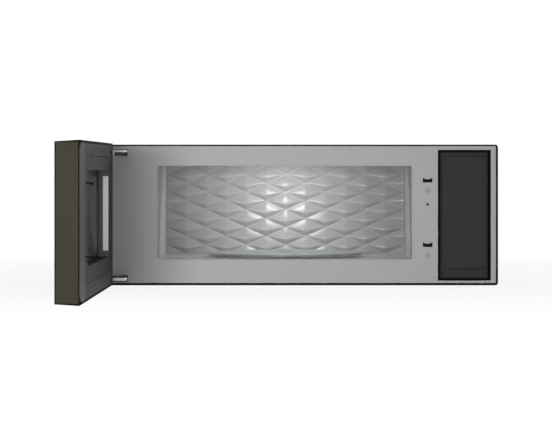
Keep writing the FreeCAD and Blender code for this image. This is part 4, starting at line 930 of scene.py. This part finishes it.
def makeFilters():
    tree = makeWeaveTree()
    for side in ("left", "right"):
        low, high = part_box(f"grease_filter_{side}")
        middle = (low + high) / 2
        rims = 2 * weave["rim"]
        mesh = growMesh("filterWeave", tree, {
            "Width": high.x - low.x - rims, "Length": high.y - low.y - rims, **weave["inputs"],
        })
        at = Matrix.Translation((middle.x, middle.y, weave["lift"]))
        body = f"filter_{side[0]}"
        addPiece(f"filterWeave_{side}", mesh, body, at)
        reach, near = pullRing["wide"] / 2, low.y + pullRing["fromEdge"]
        far = near + pullRing["deep"]
        loop = roundedLoop((middle.x - reach, near), (middle.x + reach, far), pullRing["corner"])
        points = [(x, y, pullRing["lift"]) for x, y in loop]
        ring = wireMesh("pullRing", points, pullRing["wire"], finishes["chrome"])
        addPiece(f"pullRing_{side}", ring, body)


makeFilters()
print("grease filters woven")


# touch marks printed on the control glass: plain rings, no letters

touchMarks = {"drop": 22 * mm, "inputs": {
    "Columns": 3, "Rows": 5, "Gap X": 24 * mm, "Gap Y": 24 * mm, "Ring": 6.5 * mm, "Line": 0.22 * mm,
    "Print": 0.04 * mm,
}}

coatFinish("touch_print", {
    "colour": (0.42, 0.43, 0.44), "shade": (0.34, 0.35, 0.36), "cloudScale": 60.0, "peelScale": 2000.0,
    "roughness": 0.4, "spread": 0.1, "gloss": 0.4, "peel": 0.1, "peelDepth": 0.0001,
})


def makeMarkTree():
    tree, given = geoTree("touchRings", touchMarks["inputs"])
    field = tree.nodes.new("GeometryNodeMeshGrid")
    for count, axis in (("Columns", "X"), ("Rows", "Y")):
        spans = mathNode(tree, "SUBTRACT", given[count], 1.0)
        feed(tree, mathNode(tree, "MULTIPLY", spans, given[f"Gap {axis}"]), field, f"Size {axis}")
        feed(tree, given[count], field, f"Vertices {axis}")
    ring = addNode(tree, "GeometryNodeCurvePrimitiveCircle", Resolution=40, Radius=given["Ring"]).outputs[0]
    ink = bandMesh(tree, ring, mathNode(tree, "MULTIPLY", given["Line"], 2.0), given["Print"])
    closeTree(tree, repeatOn(tree, field.outputs[0], ink), finishes["touch_print"])
    return tree


def makeTouchMarks():
    low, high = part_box("touch_glass")
    given = touchMarks["inputs"]
    tall = (given["Rows"] - 1) * given["Gap Y"]
    at = (low.x, (low.y + high.y) / 2, low.z + touchMarks["drop"] + tall / 2)
    mesh = growMesh("touchMarks", makeMarkTree(), given)
    addPiece("touchMarks", mesh, "door", facing((-1, 0, 0), (0, 0, 1), at))


makeTouchMarks()
print("touch marks printed")


# camera: level and square to the front, as the photograph has it

view = {"height": 0.2308, "distance": 5.491, "focalPixels": 2635.0, "axis": (300.7, 165.3),
        "image": (552, 448), "film": 36.0, "reach": 60.0}


def placeCamera():
    wide, high = view["image"]
    camera = addObject("camera", bpy.data.cameras.new("camera"))
    camera.location = (0.0, -view["distance"], view["height"])
    camera.rotation_euler = (math.radians(90), 0.0, 0.0)
    camera.data.sensor_width = view["film"]
    camera.data.lens = view["focalPixels"] * view["film"] / wide
    camera.data.shift_x = (wide / 2 - view["axis"][0]) / wide
    camera.data.shift_y = (view["axis"][1] - high / 2) / wide
    camera.data.clip_end = view["reach"]
    bpy.context.scene.camera = camera


placeCamera()


# floor, white to the eye, with a soft shadow; seen through from below, and open to the lamp under it

floorLook = {"size": 60.0, "drop": 0.4 * mm, "white": 0.9, "nearGlow": 0.86, "near": 0.5, "far": 1.5,
             "mirrored": 0.7}


def seenRays(tree, path, mirrored):
    seen = mathNode(tree, "MAXIMUM", path["Is Camera Ray"], path["Is Transmission Ray"])
    return mathNode(tree, "MAXIMUM", seen, mathNode(tree, "MULTIPLY", path["Is Glossy Ray"], mirrored))


def mixShaders(tree, *sources):
    node = addNode(tree, "ShaderNodeMixShader")
    for slot, source in enumerate(sources):
        feed(tree, source, node, slot)
    return node.outputs[0]


def makeFloor():
    mesh = bpy.data.meshes.new("studioFloor")
    half = floorLook["size"] / 2
    corners = [(-half, -half), (half, -half), (half, half), (-half, half)]
    mesh.from_pydata([(x, y, -floorLook["drop"]) for x, y in corners], [], [(0, 1, 2, 3)])
    floor = addObject("studioFloor", mesh)
    finish = bpy.data.materials.new("studioFloor")
    finish.use_nodes = True
    tree = finish.node_tree
    tree.nodes.clear()
    matt = addNode(tree, "ShaderNodeBsdfDiffuse", Color=opaque((floorLook["white"],) * 3)).outputs[0]
    glow = addNode(tree, "ShaderNodeEmission", Strength=1.0).outputs[0]
    clear = addNode(tree, "ShaderNodeBsdfTransparent").outputs[0]
    path = addNode(tree, "ShaderNodeLightPath").outputs
    below = addNode(tree, "ShaderNodeNewGeometry").outputs["Backfacing"]
    through = mathNode(tree, "MAXIMUM", below, path["Is Shadow Ray"])
    away = vectorNode(tree, "LENGTH", objectPlace(tree))
    fade = mapRange(tree, away, floorLook["nearGlow"], 1.0, floorLook["near"], floorLook["far"])
    glowing = mathNode(tree, "MULTIPLY", seenRays(tree, path, floorLook["mirrored"]), fade)
    sided = mixShaders(tree, through, mixShaders(tree, glowing, matt, glow), clear)
    feed(tree, sided, addNode(tree, "ShaderNodeOutputMaterial"), 0)
    mesh.materials.append(finish)


makeFloor()

worldLook = {"ambient": 0.26, "mirrored": 0.7}


def makeWorld():
    world = bpy.context.scene.world = bpy.data.worlds.new("studio")
    world.use_nodes = True
    tree = world.node_tree
    back = tree.nodes["Background"]
    feed(tree, (1.0, 1.0, 1.0, 1.0), back, "Color")
    seen = seenRays(tree, addNode(tree, "ShaderNodeLightPath").outputs, worldLook["mirrored"])
    feed(tree, mapRange(tree, seen, worldLook["ambient"], 1.0, style="LINEAR"), back, "Strength")


makeWorld()

lamps = {
    "leftBox": {"at": (-0.95, -6.0, 0.30), "aim": (-0.12, -0.3, 0.14), "size": (0.9, 0.4), "power": 2.0,
                "beam": 24.0},
    "rightBox": {"at": (1.5, -5.6, 0.34), "aim": (-0.2, -0.3, 0.14), "size": (1.0, 0.4), "power": 0.66,
                 "beam": 24.0},
    "topBox": {"at": (0.3, -1.0, 2.6), "aim": (0.0, -0.4, 0.1), "size": (2.2, 1.6), "power": 16.0},
    "ovenLamp": {"at": (-0.035, -0.20, 0.228), "aim": (-0.035, -0.12, 0.11), "size": (0.05, 0.06),
                 "power": 0.31},
    "rearBox": {"at": (0.6, 2.6, 1.8), "aim": (0.0, -0.2, 0.1), "size": (2.0, 1.4), "power": 34.0},
    "underBox": {"at": (0.0, -0.10, -1.4), "aim": (0.0, -0.10, 0.0), "size": (1.2, 0.8), "power": 5.0},
}


def aimLamp(name, data, lamp):
    item = addObject(name, data)
    data.energy = lamp["power"]
    item.location = lamp["at"]
    item.rotation_euler = (Vector(lamp["aim"]) - Vector(lamp["at"])).to_track_quat("-Z", "Y").to_euler()
    item.visible_camera = False
    return item


def placeLamp(name, lamp):
    data = bpy.data.lights.new(name, "AREA")
    data.shape = "RECTANGLE"
    data.size, data.size_y = lamp["size"]
    data.spread = math.radians(lamp.get("beam", 180.0))
    aimLamp(name, data, lamp)


for name, lamp in lamps.items():
    placeLamp(name, lamp)

ovenBulb = {"at": (-0.035, -0.325, 0.198), "aim": (-0.035, -0.21, 0.098), "radius": 0.02, "power": 1.06,
            "cone": 165.0, "soft": 0.4}


def placeBulb():
    data = bpy.data.lights.new("ovenBulb", "SPOT")
    data.shadow_soft_size, data.spot_blend = ovenBulb["radius"], ovenBulb["soft"]
    data.spot_size = math.radians(ovenBulb["cone"])
    aimLamp("ovenBulb", data, ovenBulb).visible_glossy = False


placeBulb()
bpy.context.scene.view_settings.view_transform = "Standard"
print("stage ready")
